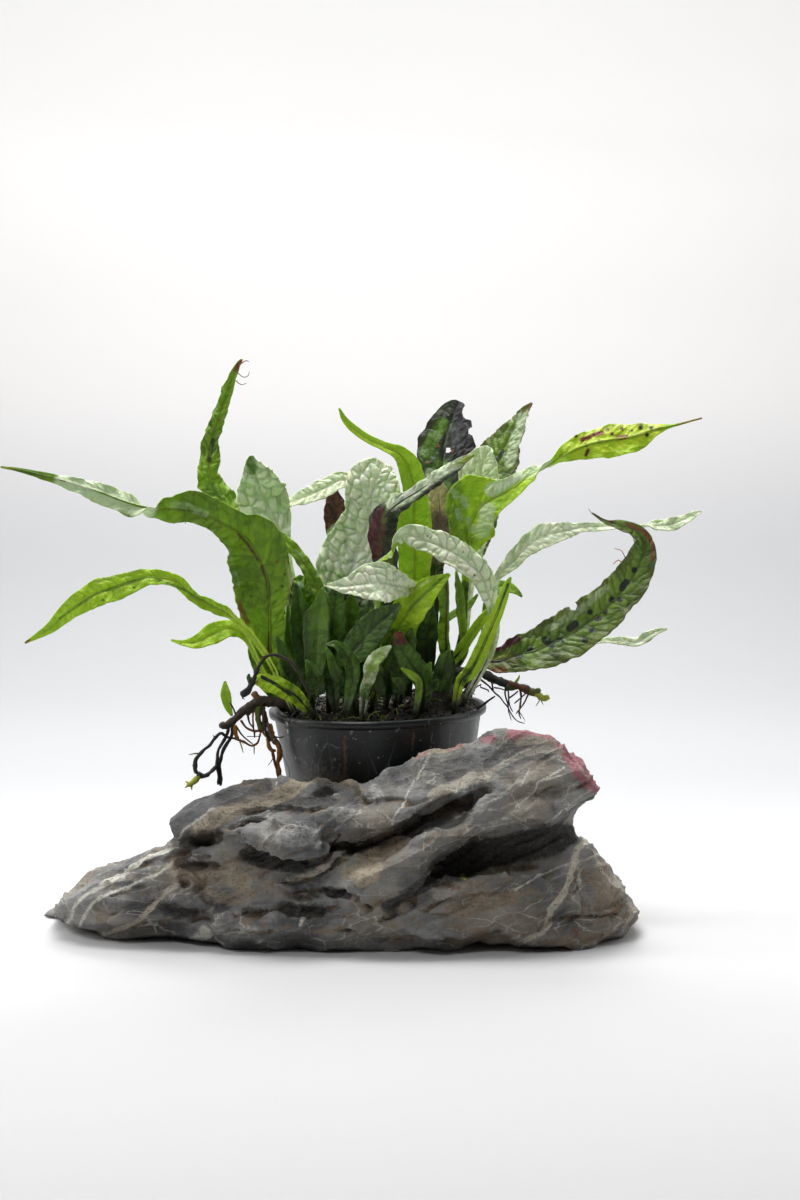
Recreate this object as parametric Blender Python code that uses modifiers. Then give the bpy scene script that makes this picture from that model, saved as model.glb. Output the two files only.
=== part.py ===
# Java fern in a small plastic pot that stands on a layered grey stone.
# Metres, +Z up, the front of the object towards -Y. The origin is the middle of the flat underside of
# the stone. Places that were read off the photograph are pixels of its 800 x 1200 frame, and one pinhole
# formula turns a pixel and a depth into a point.

import math

import bmesh
import bpy
import numpy as np
from mathutils import Matrix, Vector, noise

# Photograph: 219 pixels of pot rim are 90 mm, which sets the scale
FRAME_CENTRE = (400.0, 600.0)
RIM_PIXELS = 219.0
RIM_DIAMETER = 0.090
PIXEL_SIZE = RIM_DIAMETER / RIM_PIXELS
VIEW_DISTANCE = 1.100
VIEW_ELEVATION = math.radians(6.0)
FOCAL_PIXELS = VIEW_DISTANCE / PIXEL_SIZE
MM = 0.001
GAP = 0.0003

# Pot
POT_X = 0.0155
POT_Y = 0.025
POT_HEIGHT = 0.068
POT_TAPER = math.radians(9.5)
POT_LEAN = math.radians(-1.5)
POT_WALL = 0.0012
POT_FLOOR = 0.0018
LIP_OVERHANG = 0.0018
LIP_HEIGHT = 0.0033
POT_SIDES = 40
SHELF_HEIGHT = 0.017

# Growing medium
MEDIUM_BELOW_RIM = 0.0025
MOUND_HEIGHT = 0.013
MOUND_PLACE = (0.028, -0.002)
MOUND_SPREAD = 0.0085

# Stone
STONE_VOXEL = 0.0026
STONE_TRIANGLES = 3300
STONE_DRAWN_IN = 0.0011
STRATA_TILT = math.radians(27.0)
BED_THICKNESS = 0.0125
STONE_HALF_LENGTH = 0.128

# Fronds: the crown spreads with height, blades wrap round the pot's axis, and arching ones lie over
BLADE_THICKNESS = 0.0009
PETIOLE_HALF_WIDTH = 0.0014
CROWN_SPREAD = 8.0
CROWN_RADIUS = 0.040
CROWN_WRAP = 22.0
LIE_OVER = 26.0

VIEW_POINT = Vector((
    POT_X + (FRAME_CENTRE[0] - 381.75) * PIXEL_SIZE,
    POT_Y - VIEW_DISTANCE * math.cos(VIEW_ELEVATION),
    0.2437,
))

# Each stone block is an outline in the photograph, as (pixel x, pixel y, depth of its front face in mm),
# and the depth of its back face in mm. Depths count from the origin, and the front is negative.
STONE_BLOCKS = {
    "lower_mass": (40, [
        (42, 911, -18), (62, 893, -24), (98, 870, -28), (142, 854, -30), (176, 843, -34),
        (230, 838, -42), (300, 846, -50), (360, 850, -54), (430, 856, -46), (520, 862, -44),
        (575, 835, -40), (598, 856, -38), (616, 878, -34), (644, 913, -26), (627, 938, -32),
        (592, 955, -44), (500, 952, -52), (383, 955, -56), (247, 951, -50), (163, 939, -42),
        (106, 939, -34), (60, 929, -24)]),
    "rear_mass": (62, [
        (150, 893, -8), (240, 878, -8), (330, 884, -8), (420, 884, -8), (520, 872, -8), (590, 868, -8),
        (622, 900, -8), (610, 960, -8), (500, 975, -8), (300, 975, -8), (175, 955, -8)]),
    "recess_wall": (-10, [
        (400, 845, -46), (433, 800, -44), (520, 780, -40), (556, 790, -36), (572, 835, -34),
        (560, 885, -42), (430, 890, -48)]),
    "groove_floor": (-14, [
        (295, 888, -48), (345, 845, -47), (400, 815, -46), (467, 786, -44), (520, 772, -42),
        (505, 800, -44), (440, 832, -46), (380, 862, -48), (325, 900, -50)]),
    "rear_left_hump": (34, [
        (150, 868, -14), (190, 836, -14), (232, 826, -14), (262, 842, -14), (272, 900, -14),
        (160, 915, -14)]),
    "rear_right_hump": (40, [
        (500, 826, -14), (540, 812, -14), (568, 836, -14), (592, 868, -14), (588, 915, -14),
        (512, 915, -14)]),
    "left_tongue_ledge": (0, [
        (49, 903, -30), (84, 886, -36), (120, 878, -42), (170, 862, -46), (205, 872, -50),
        (190, 905, -54), (120, 925, -44), (70, 926, -34)]),
    "upper_left_block": (-13, [
        (170, 822, -34), (189, 811, -33), (231, 783, -30), (262, 777, -29), (305, 774, -29),
        (353, 781, -30), (364, 800, -36), (318, 812, -42), (250, 822, -45), (200, 838, -46),
        (178, 843, -42)]),
    "tongue_lobe": (-18, [
        (221, 826, -50), (252, 818, -56), (300, 821, -60), (331, 834, -61), (326, 858, -60),
        (296, 862, -58), (255, 850, -55), (228, 840, -52)]),
    "ridge_band": (-16, [
        (300, 800, -48), (360, 788, -42), (377, 773, -36), (421, 753, -33), (460, 743, -32),
        (498, 736, -32), (541, 728, -32), (562, 740, -34), (585, 764, -38), (560, 776, -50),
        (500, 782, -54), (440, 803, -57), (391, 823, -59), (350, 838, -59), (316, 838, -57)]),
    "slab": (-18, [
        (478, 806, -58), (530, 784, -53), (572, 764, -44), (594, 775, -42), (597, 787, -42),
        (591, 800, -44), (574, 813, -48), (556, 828, -54), (513, 826, -60), (467, 841, -64),
        (433, 858, -66), (385, 884, -66), (335, 910, -63), (305, 908, -59), (354, 872, -62),
        (410, 838, -62)]),
    "lower_band": (-20, [
        (200, 905, -54), (290, 905, -60), (360, 902, -64), (420, 880, -64), (470, 872, -62),
        (540, 874, -58), (552, 905, -60), (520, 940, -60), (430, 938, -63), (330, 940, -62),
        (230, 940, -56)]),
    "lower_right_block": (6, [
        (560, 868, -50), (585, 846, -42), (608, 860, -38), (620, 884, -38), (642, 914, -34),
        (622, 938, -42), (588, 950, -54), (535, 952, -60), (516, 944, -60), (548, 905, -60)]),
}

# Main relief of the stone's front, drawn over the photograph. Under the line of a ledge, from left to right,
# the stone draws back. Each is (height in mm, reach below the line in pixels, line).
STONE_LEDGES = [
    (3.4, 14, [(171, 824), (178, 842), (188, 836), (200, 831), (214, 832)]),
    (4.6, 17, [(244, 836), (257, 847), (272, 851), (283, 857), (298, 860), (313, 859), (327, 852), (333, 841)]),
    (2.4, 10, [(250, 811), (277, 809), (307, 808), (324, 806)]),
    (2.6, 10, [(353, 784), (362, 796), (370, 800), (392, 798), (410, 800)]),
    (4.2, 10, [(333, 841), (352, 842), (373, 836), (391, 830), (414, 821), (441, 809), (458, 800), (467, 796)]),
    (3.0, 11, [(287, 880), (313, 877), (326, 871), (337, 858), (353, 847)]),
    (3.4, 13, [(321, 888), (340, 887), (356, 893), (368, 903)]),
    (3.8, 15, [(237, 911), (256, 909), (274, 906), (283, 903), (300, 905), (321, 908), (330, 905)]),
    (2.4, 9, [(334, 930), (344, 928), (355, 932), (366, 936), (384, 938), (400, 935), (416, 936)]),
    (3.6, 22, [(388, 910), (400, 899), (411, 896), (420, 884), (432, 866), (450, 853), (470, 841)]),
    (2.2, 10, [(430, 905), (447, 900), (463, 893), (485, 890), (500, 892)]),
    (2.6, 9, [(548, 916), (565, 916), (582, 915), (600, 915), (616, 913)]),
]
# Each groove is (depth in mm, half width in pixels, line)
STONE_GROOVES = [
    (2.6, 4.5, [(331, 843), (345, 846), (360, 846), (382, 837), (404, 828), (430, 817), (452, 806), (468, 797)]),
    (1.4, 3.5, [(395, 941), (420, 944), (450, 941), (480, 944)]),
]
# Each hollow or swelling is (depth in mm, negative for a swelling, middle, half sizes in pixels)
STONE_HOLLOWS = [
    (3.6, (201, 841), (15, 7)), (2.6, (190, 864), (18, 7)), (2.4, (176, 908), (12, 7)),
    (2.0, (303, 912), (16, 6)), (2.4, (330, 796), (18, 8)), (2.0, (338, 893), (12, 6)),
    (-1.6, (280, 840), (34, 13)), (-1.2, (345, 818), (26, 14)), (-1.2, (205, 812), (24, 14)),
    (-1.2, (540, 810), (34, 15)), (-1.2, (600, 890), (14, 20)), (-1.0, (120, 905), (30, 12)),
]
# The drawn relief comes in over this stretch of depth
STONE_FRONT_FADE = (-0.010, -0.022)

# Colours are linear RGB, with a roughness
COLOURS = {
    "stone": ((0.165, 0.162, 0.158), 0.85),
    "pot": ((0.018, 0.024, 0.029), 0.38),
    "medium": ((0.018, 0.012, 0.008), 0.95),
    "root": ((0.050, 0.026, 0.012), 0.80),
    "charcoal": ((0.014, 0.013, 0.013), 0.90),
    "bright": ((0.165, 0.380, 0.028), 0.40),
    "green": ((0.075, 0.210, 0.020), 0.38),
    "deep": ((0.022, 0.075, 0.012), 0.42),
    "pale": ((0.370, 0.480, 0.300), 0.30),
    "mottled": ((0.110, 0.165, 0.055), 0.35),
    "dead": ((0.090, 0.030, 0.020), 0.60),
    "dusky": ((0.036, 0.045, 0.022), 0.50),
}

# Each frond: colour, rows along it, root place on the medium (mm from the pot's axis, +Y to the back),
# fold of its halves, and its route as (pixel x, pixel y, depth in mm from the pot's axis, half width in
# pixels, roll in degrees). Roll 0 turns the blade flat to the viewer and 90 shows its edge.
FRONDS = {
    "frond_long_left": ("green", 20, (-38, -4), -0.16, [
        (272, 664, -10, 17, 0), (265, 615, -12, 22, 0), (260, 579, -14, 29, 0), (250, 545, -16, 31, 4),
        (232, 521, -18, 24, 8), (202, 509, -21, 17, 10), (172, 510, -24, 12, 30), (150, 509, -26, 9, 90),
        (125, 502, -27, 11, 165), (95, 491, -28, 9, 180), (55, 479, -29, 4.5, 180), (20, 470, -30, 2, 180),
        (0, 467, -30, 0.8, 180)]),
    "frond_crumpled_upright": ("deep", 13, (-28, 18), 0.35, [
        (285, 640, 19, 8, 0), (265, 580, 21, 13, 0), (243, 530, 22, 16, 10), (220, 492, 22, 13, 20),
        (211, 460, 22, 9, 25), (213, 435, 22, 9, 0), (222, 408, 22, 6, 15), (229, 387, 21, 5, 0),
        (237, 367, 20, 3, 0), (242, 359, 20, 1.2, 0)]),
    "frond_low_left": ("bright", 15, (-33, -20), -0.10, [
        (266, 655, -26, 4, 40), (243, 626, -30, 5, 60), (220, 606, -34, 7, 45), (197, 595, -37, 7, 10),
        (174, 579, -40, 7, 0), (150, 580, -42, 9, 0), (125, 585, -44, 11, 0), (96, 594, -46, 12.5, 0),
        (71, 609, -48, 9, 0), (50, 628, -49, 5, 0), (25, 643, -50, 0.9, 0)]),
    "frond_small_left": ("bright", 8, (-35, -10), -0.10, [
        (264, 672, -14, 3, 40), (246, 638, -19, 4, 30), (230, 629, -21, 8, 0), (213, 634, -23, 10, 0),
        (197, 642, -25, 6.5, 0), (183, 643, -26, 2.8, 0), (171, 640, -27, 0.8, 0)]),
    "frond_blistered_left": ("pale", 12, (-30, 7), -0.14, [
        (300, 640, 8, 8, 0), (293, 590, 9, 13, 0), (285, 548, 9, 16, 0), (273, 514, 9, 20, 10),
        (258, 491, 7, 24, 12), (251, 474, 4, 12, 20), (248, 460, 1, 6, 10), (249, 456, -1, 2, 0)]),
    "frond_reaching_arm": ("pale", 13, (-10, 17), -0.12, [
        (364, 640, 17, 7, 0), (367, 580, 17, 11, 0), (364, 520, 17, 12, 0), (355, 489, 16, 10, 0),
        (343, 482, 15, 9, 0), (324, 489, 14, 9.5, 0), (305, 497, 14, 7, 0), (288, 505, 15, 5, 0),
        (272, 512, 16, 1.2, 0)]),
    "frond_strap_left": ("green", 10, (-20, -8), -0.10, [
        (329, 655, -9, 6, 0), (326, 608, -9, 7, 0), (315, 577, -8, 7, 0), (300, 553, -7, 7, 0),
        (285, 538, -6, 6, 0), (268, 527, -5, 1.5, 0)]),
    "frond_broad_quilted": ("pale", 12, (-13, 2), -0.14, [
        (352, 660, 2, 9, 0), (350, 615, 2, 18, 0), (353, 575, 1, 30, 0), (362, 537, 0, 33, 0),
        (373, 500, 0, 29, 0), (379, 475, 1, 21, 0), (382, 462, 2, 9, 0)]),
    "frond_smooth_bright": ("bright", 15, (9, 7), -0.14, [
        (409, 650, 6, 7, 0), (413, 600, 3, 11, 0), (414, 550, 0, 13, 0), (413, 510, -3, 13, 0),
        (411, 480, -5, 12, 0), (402, 460, -6, 9, 0), (385, 447, -7, 6, 0), (366, 436, -8, 5, 0),
        (350, 423, -9, 3.6, 0), (339, 408, -10, 0.9, 0)]),
    "frond_dead_edged": ("dusky", 14, (3, -4), 0.25, [
        (396, 650, -7, 6, 0), (394, 600, -10, 9, 0), (390, 560, -13, 13, 0), (386, 530, -15, 14, 0),
        (391, 508, -17, 11, 0), (406, 494, -18, 9, 0), (425, 481, -18, 7, 0), (447, 469, -18, 7, 0),
        (463, 460, -17, 5, 0), (474, 455, -16, 1.5, 0)]),
    "frond_dead_brown": ("dead", 8, (-18, 22), -0.10, [
        (345, 640, 23, 5, 0), (342, 580, 24, 8, 0), (337, 535, 24, 11, 0), (334, 510, 23, 12, 0),
        (337, 490, 22, 10, 0)]),
    "frond_dead_beige": ("dead", 8, (17, 11), -0.10, [
        (430, 650, 11, 5, 0), (434, 600, 10, 7, 0), (437, 560, 9, 9, 0), (438, 525, 8, 10, 0),
        (437, 500, 7, 10, 0), (434, 480, 6, 6, 0)]),
    "frond_black_topped": ("dusky", 12, (10, 27), -0.14, [
        (424, 650, 27, 8, 0), (431, 580, 28, 15, 0), (438, 520, 28, 24, 0), (442, 480, 28, 30, 0),
        (443, 452, 28, 33, 0), (448, 430, 28, 29, 0), (453, 414, 28, 17, 0), (459, 403, 28, 7, 0)]),
    "frond_mottled_point": ("mottled", 12, (22, 24), -0.14, [
        (458, 650, 24, 7, 0), (468, 590, 25, 12, 0), (478, 540, 25, 17, 0), (488, 495, 25, 22, 0),
        (496, 465, 25, 24, 0), (510, 440, 25, 17, 0), (522, 420, 24, 10, 0), (533, 404, 23, 1.5, 0)]),
    "frond_round_pale": ("pale", 10, (29, 15), -0.16, [
        (464, 640, 15, 7, 0), (471, 580, 15, 12, 0), (477, 530, 15, 17, 0), (481, 495, 14, 20, 0),
        (482, 470, 13, 20, 0), (487, 455, 12, 13, 0), (491, 448, 11, 4, 0)]),
    "frond_spotted_right": ("bright", 20, (27, 6), -0.14, [
        (462, 640, 5, 7, 0), (467, 590, 5, 12, 0), (469, 552, 4, 19, 0), (473, 524, 4, 25, 0),
        (487, 505, 3, 20, -8), (508, 491, 2, 12, -8), (530, 477, 1, 9, 20), (549, 464, 0, 5, 90),
        (573, 452, 0, 11, 160), (603, 440, 0, 16, 180), (640, 432, 0, 10, 180), (673, 424, 0, 3, 180),
        (702, 418, 0, 0.8, 180)]),
    "frond_arched_pale": ("pale", 16, (34, -18), -0.14, [
        (489, 655, -19, 5, 0), (494, 620, -20, 7, 0), (490, 598, -21, 8, 0), (482, 580, -22, 11, 0),
        (469, 565, -24, 13, 0), (452, 552, -25, 15, 0), (433, 545, -26, 15, 0), (414, 541, -27, 12, 20),
        (398, 549, -26, 8, 40), (381, 562, -25, 4, 40), (361, 574, -24, 1.2, 30)]),
    "frond_bright_strap": ("bright", 8, (31, -22), -0.10, [
        (468, 675, -24, 7, 0), (481, 645, -26, 8, 0), (493, 615, -27, 8.5, 0), (502, 592, -27, 7, 0),
        (510, 576, -27, 3.5, 0)]),
    "frond_short_strap": ("bright", 8, (24, -7), -0.10, [
        (450, 664, -7.5, 6, 0), (463, 643, -9, 8, 0), (476, 624, -10, 8, 0), (489, 611, -10, 6, 0),
        (503, 601, -10, 2, 0)]),
    "frond_pale_long_right": ("pale", 17, (36, 3), -0.12, [
        (485, 640, 3, 6, 0), (495, 605, 2, 8, 0), (506, 576, 1, 9, 0), (518, 558, 0, 10, 0),
        (536, 541, -1, 10, 0), (563, 532, -1, 9, 0), (600, 527, 4, 5, 0), (638, 527, 6, 4, 0),
        (664, 525, 6, 7, 0), (686, 518, 6, 4, 0), (701, 512, 6, 0.8, 0)]),
    "frond_small_behind": ("green", 8, (38, 11), -0.10, [
        (484, 640, 12, 4, 0), (488, 605, 12, 5, 0), (497, 589, 12, 6, 0), (509, 588, 12, 6, 0),
        (522, 597, 12, 0.9, 0)]),
    "frond_mottled_right": ("mottled", 18, (38, -6), -0.18, [
        (480, 670, -7, 7, 0), (498, 661, -8, 13, 0), (518, 656, -9, 18, 0), (540, 649, -10, 22, 0),
        (568, 637, -10, 25, 0), (592, 621, -10, 24, 0), (612, 603, -10, 22, 0), (628, 583, -9, 20, 0),
        (640, 561, -8, 15, 0), (643, 543, -7, 11, 10), (632, 529, -6, 8, 40), (615, 524, -5, 5, 20),
        (602, 520, -4, 2.5, 0), (591, 512, -4, 0.8, 0)]),
    "frond_small_right": ("pale", 9, (35, 19), -0.10, [
        (500, 655, 12, 3, 0), (555, 648, 8, 3, 0), (600, 641, 6, 4, 0), (625, 641, 6, 5.5, 0),
        (646, 637, 6, 6, 0), (667, 629, 6, 0.9, 0)]),
    "frond_glossy_left": ("green", 9, (-27, -1), -0.16, [
        (312, 668, -2, 6, 0), (309, 640, -3, 9, 0), (306, 615, -4, 15, 0), (304, 598, -4, 15, 0),
        (301, 584, -3, 10, 0), (297, 576, -2, 3, 0)]),
    "frond_cut_left": ("bright", 6, (-25, -27), 0.20, [
        (292, 692, -30, 7, 0), (278, 686, -31, 9, 0), (265, 682, -32, 9, 0), (256, 680, -32, 6, 0)]),
    "frond_dark_centre": ("deep", 8, (-17, -16), -0.12, [
        (331, 665, -16, 11, 0), (332, 630, -16, 14, 0), (335, 603, -15, 10, 0), (337, 584, -14, 3, 0)]),
    "frond_dark_diagonal": ("deep", 8, (-8, -22), -0.14, [
        (346, 668, -24, 10, 0), (361, 643, -26, 15, 0), (380, 622, -26, 13, 0), (400, 604, -26, 2.5, 0)]),
    "frond_curled_tip": ("deep", 7, (-13, -29), -0.12, [
        (353, 674, -31, 7, 0), (346, 655, -32, 7, 0), (337, 645, -33, 4, 0), (326, 645, -33, 1, 0)]),
    "frond_red_tipped": ("deep", 8, (18, -25), -0.14, [
        (424, 683, -28, 9, 0), (411, 664, -30, 11, 0), (401, 648, -31, 8, 0), (398, 632, -31, 5, 0)]),
    "frond_pale_curled": ("pale", 7, (-6, -34), 0.20, [
        (365, 690, -35, 5, 0), (370, 676, -36, 6, 0), (372, 663, -37, 8, 20), (383, 652, -37, 5, 0),
        (391, 646, -37, 1, 0)]),
    "frond_tiny_bright": ("green", 5, (15, -33), -0.10, [
        (419, 685, -34, 3.5, 0), (411, 675, -35, 3.5, 0), (401, 668, -35, 1, 0)]),
    "frond_wavy_thin": ("green", 9, (21, -2), 0.20, [
        (446, 660, -3, 3, 0), (445, 636, -3, 5, 0), (446, 612, -4, 4, 0), (445, 590, -4, 6, 0),
        (448, 571, -4, 1.2, 0)]),
    "frond_wavy_short": ("green", 8, (30, -4), 0.20, [
        (466, 650, -4, 3, 0), (462, 625, -4, 4, 0), (460, 605, -4, 4.5, 0), (456, 586, -4, 4, 0),
        (453, 568, -4, 1.2, 0)]),
    "frond_thin_diagonal": ("green", 7, (18, 9), 0.10, [
        (436, 655, 7, 2.5, 0), (448, 624, 8, 3.5, 0), (463, 607, 8, 4.5, 0), (481, 593, 8, 1.2, 0)]),
    "frond_curled_green": ("bright", 9, (-3, -14), -0.12, [
        (384, 662, -18, 8, 0), (402, 632, -21, 13, 0), (417, 607, -22, 14, 0), (430, 590, -22, 10, 0),
        (449, 575, -22, 1.4, 0)]),
    "frond_forward_quilted": ("pale", 13, (7, -11), -0.14, [
        (402, 650, -13, 4, 0), (408, 610, -15, 6, 20), (412, 583, -18, 9, 30), (401, 577, -28, 14, 20),
        (384, 583, -34, 17, 0), (362, 586, -38, 12, 0), (343, 585, -40, 6, 0), (324, 585, -41, 1.4, 0)]),
}

# Roots and stems: tube radius in mm at the start and at the end, and the route as (pixel x, pixel y,
# depth in mm from the pot's axis). The first route of each group is the stem that the others join.
LEFT_STEM = [
    (2.2, 1.5, [(288, 701, -16), (268, 700, -16), (254, 701, -17), (243, 713, -18), (233, 723, -19),
                (222, 728, -20)]),
    (0.8, 0.5, [(232, 722, -19), (227, 742, -20), (221, 759, -21), (218, 785, -22)]),
    (0.8, 0.6, [(226, 727, -20), (212, 743, -24), (198, 760, -26), (197, 771, -27), (207, 774, -26),
                (217, 768, -23.6)]),
    (1.0, 0.6, [(255, 701, -17), (260, 729, -16), (272, 745, -15), (279, 760, -15), (281, 779, -15)]),
    (0.6, 0.5, [(238, 719, -19), (243, 738, -19), (254, 746, -18), (262, 733, -16.6)]),
    (0.6, 0.4, [(264, 702, -17), (268, 722, -19), (270, 748, -20), (266, 766, -21)]),
]
RIGHT_STEM = [
    (2.0, 1.4, [(452, 672, -12), (474, 671, -13), (492, 677, -14), (512, 684, -15), (530, 692, -16),
                (551, 697, -17)]),
    (0.6, 0.4, [(484, 673, -13.5), (494, 690, -14), (506, 701, -14), (512, 714, -15), (520, 723, -15)]),
    (0.6, 0.4, [(502, 680, -14.5), (506, 700, -18), (512, 720, -19)]),
    (0.6, 0.4, [(519, 686, -15.5), (521, 704, -16), (524, 721, -16)]),
    (0.6, 0.4, [(533, 692, -16), (528, 704, -18), (519, 711, -19)]),
]
DEAD_STALK = [
    (0.9, 2.2, [(311, 696, -37), (299, 676, -38), (284, 662, -38), (268, 660, -38), (258, 672, -38),
                (249, 686, -38), (242, 697, -38)]),
]
SPROUT = ("bright", 6, [(231, 716, -19, 2, 0), (227, 706, -19, 4.5, 0), (225, 694, -19, 5, 0),
                        (225, 681, -19, 1.2, 0)])


def clear_scene():
    for item in list(bpy.data.objects):
        bpy.data.objects.remove(item, do_unlink=True)


def new_collection(name):
    collection = bpy.data.collections.new(name)
    bpy.context.scene.collection.children.link(collection)
    return collection


def paint(item, name, colour):
    rgb, roughness = COLOURS[colour]
    material = bpy.data.materials.new(name)
    material.use_nodes = True
    shader = material.node_tree.nodes["Principled BSDF"]
    shader.inputs["Base Color"].default_value = (*rgb, 1.0)
    shader.inputs["Roughness"].default_value = roughness
    shader.inputs["Metallic"].default_value = 0.0
    material.diffuse_color = (*rgb, 1.0)
    item.data.materials.clear()
    item.data.materials.append(material)


def add_object(name, data, collection, colour=None):
    item = bpy.data.objects.new(name, data)
    collection.objects.link(item)
    if colour:
        paint(item, name, colour)
    return item


def mesh_from(bm, name):
    mesh = bpy.data.meshes.new(name)
    bm.to_mesh(mesh)
    bm.free()
    return mesh


def evaluated_mesh(item):
    bpy.context.view_layer.update()
    graph = bpy.context.evaluated_depsgraph_get()
    return bpy.data.meshes.new_from_object(item.evaluated_get(graph))


# The point at a depth (world Y) that the photograph shows at a pixel
def from_photo(px, py, depth):
    down = py - FRAME_CENTRE[1]
    ray_y = FOCAL_PIXELS * math.cos(VIEW_ELEVATION) - down * math.sin(VIEW_ELEVATION)
    ray_z = -FOCAL_PIXELS * math.sin(VIEW_ELEVATION) - down * math.cos(VIEW_ELEVATION)
    reach = (depth - VIEW_POINT.y) / ray_y
    return Vector((VIEW_POINT.x + (px - FRAME_CENTRE[0]) * reach, depth, VIEW_POINT.z + ray_z * reach))


def pot_matrix():
    return Matrix.Translation((POT_X, POT_Y, SHELF_HEIGHT)) @ Matrix.Rotation(POT_LEAN, 4, "Y")


# Height of the medium above the pot's foot, at a place measured from the pot's axis
def medium_height(x, y):
    away = (x - MOUND_PLACE[0]) ** 2 + (y - MOUND_PLACE[1]) ** 2
    mound = MOUND_HEIGHT * math.exp(-away / (2 * MOUND_SPREAD**2))
    return POT_HEIGHT - MEDIUM_BELOW_RIM + mound


# Rows of numbers read at even steps along a Catmull-Rom curve through the given rows
def smooth_rows(rows, count):
    rows = np.array(rows, float)
    first = 2 * rows[0] - rows[1]
    last = 2 * rows[-1] - rows[-2]
    padded = np.vstack([first, rows, last])
    steps = np.linalg.norm(np.diff(rows[:, :3], axis=0), axis=1)
    knots = np.concatenate([[0.0], np.cumsum(steps)])
    result = []
    for place in np.linspace(0.0, knots[-1], count):
        span = min(int(np.searchsorted(knots, place, side="right")) - 1, len(rows) - 2)
        t = (place - knots[span]) / (knots[span + 1] - knots[span])
        a, b, c, d = padded[span:span + 4]
        value = 2 * b + (c - a) * t + (2 * a - 5 * b + 4 * c - d) * t**2 + (3 * b - a - 3 * c + d) * t**3
        result.append(value / 2)
    return np.array(result)


# A closed block between its front outline, which has its own depths, and a flat back outline
def stone_block(bm, outline, back):
    front_ring = [bm.verts.new(from_photo(px, py, depth * MM)) for px, py, depth in outline]
    back_ring = [bm.verts.new(from_photo(px, py, back * MM)) for px, py, _ in outline]
    bm.faces.new(front_ring)
    bm.faces.new(back_ring[::-1])
    for index in range(len(outline)):
        after = (index + 1) % len(outline)
        bm.faces.new((front_ring[index], back_ring[index], back_ring[after], front_ring[after]))


# Rough relief of the stone: tilted beds with a lip at the top of each, and lumps of two sizes
def stone_relief(point):
    along = point.x * math.cos(STRATA_TILT) + point.z * math.sin(STRATA_TILT)
    across = point.z * math.cos(STRATA_TILT) - point.x * math.sin(STRATA_TILT)
    sway = noise.noise(Vector((along, point.y, across)) / 0.030)
    bed = across / BED_THICKNESS + 1.3 * noise.noise(Vector((along * 0.5, point.y * 0.5, across)) / 0.025)
    ledge = (bed - math.floor(bed)) ** 2
    lumps = noise.noise(point / 0.012 + Vector((2.0, 5.0, 9.0)))
    return 0.0034 * sway + 0.0030 * (ledge - 0.4) + 0.0024 * lumps


# The pixels that the photograph shows rows of points at
def to_photo(points):
    away = points - np.array(VIEW_POINT)
    ahead = away[:, 1] * math.cos(VIEW_ELEVATION) - away[:, 2] * math.sin(VIEW_ELEVATION)
    above = away[:, 1] * math.sin(VIEW_ELEVATION) + away[:, 2] * math.cos(VIEW_ELEVATION)
    across = FRAME_CENTRE[0] + FOCAL_PIXELS * away[:, 0] / ahead
    return np.column_stack([across, FRAME_CENTRE[1] - FOCAL_PIXELS * above / ahead])


# How far rows of pixels lie from a drawn line, and whether they lie below it
def from_line(pixels, line):
    nearest = np.full(len(pixels), np.inf)
    below = np.zeros(len(pixels), bool)
    for start, end in zip(np.array(line, float), np.array(line[1:], float)):
        run = end - start
        share = np.clip((pixels - start) @ run / (run @ run), 0.0, 1.0)
        gap = pixels - start - share[:, None] * run
        away = np.hypot(gap[:, 0], gap[:, 1])
        near = away < nearest
        nearest[near] = away[near]
        below[near] = (run[0] * gap[:, 1] - run[1] * gap[:, 0] > 0)[near]
    return nearest, below


# How far each point of the stone's front stands out, in metres
def drawn_relief(points, normals):
    pixels = to_photo(points)
    relief = np.zeros(len(points))
    for height, reach, line in STONE_LEDGES:
        away, below = from_line(pixels, line)
        drawn_back = below * np.clip(1.0 - away / reach, 0.0, 1.0) ** 1.5
        proud = ~below * np.exp(-(away / (0.45 * reach)) ** 2)
        relief += height * (0.25 * proud - 0.85 * drawn_back)
    for depth, half_width, line in STONE_GROOVES:
        relief -= depth * np.exp(-(from_line(pixels, line)[0] / half_width) ** 2)
    for depth, middle, half_sizes in STONE_HOLLOWS:
        away = np.hypot(*((pixels - middle) / half_sizes).T)
        relief -= depth * np.clip(1.4 - 1.2 * away, 0.0, 1.0)
    forward = np.clip((0.3 * normals[:, 2] - normals[:, 1]) / 0.35, 0.0, 1.0)
    start, full = STONE_FRONT_FADE
    forward *= np.clip((points[:, 1] - start) / (full - start), 0.0, 1.0)
    return relief * forward * MM


# The back of the stone is drawn in towards its ends and its top, as a worn lump is
def rounded_back(point):
    if point.y <= 0.0:
        return point.y
    ends = math.sqrt(max(1.0 - (point.x / STONE_HALF_LENGTH) ** 2, 0.05))
    wander = 1.0 + 0.12 * noise.noise(Vector((point.x, 0.0, point.z)) / 0.025)
    return point.y * (0.35 + 0.65 * ends) * wander * (1.0 - 1.6 * max(point.z - 0.010, 0.0))


# Leaves only the largest of a mesh's separate bodies
def keep_largest_body(bm):
    left = set(bm.verts)
    bodies = []
    while left:
        body = set()
        front = [left.pop()]
        while front:
            vertex = front.pop()
            body.add(vertex)
            near = {edge.other_vert(vertex) for edge in vertex.link_edges} & left
            left -= near
            front.extend(near)
        bodies.append(body)
    largest = max(bodies, key=len)
    crumbs = [vertex for vertex in bm.verts if vertex not in largest]
    bmesh.ops.delete(bm, geom=crumbs, context="VERTS")


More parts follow.
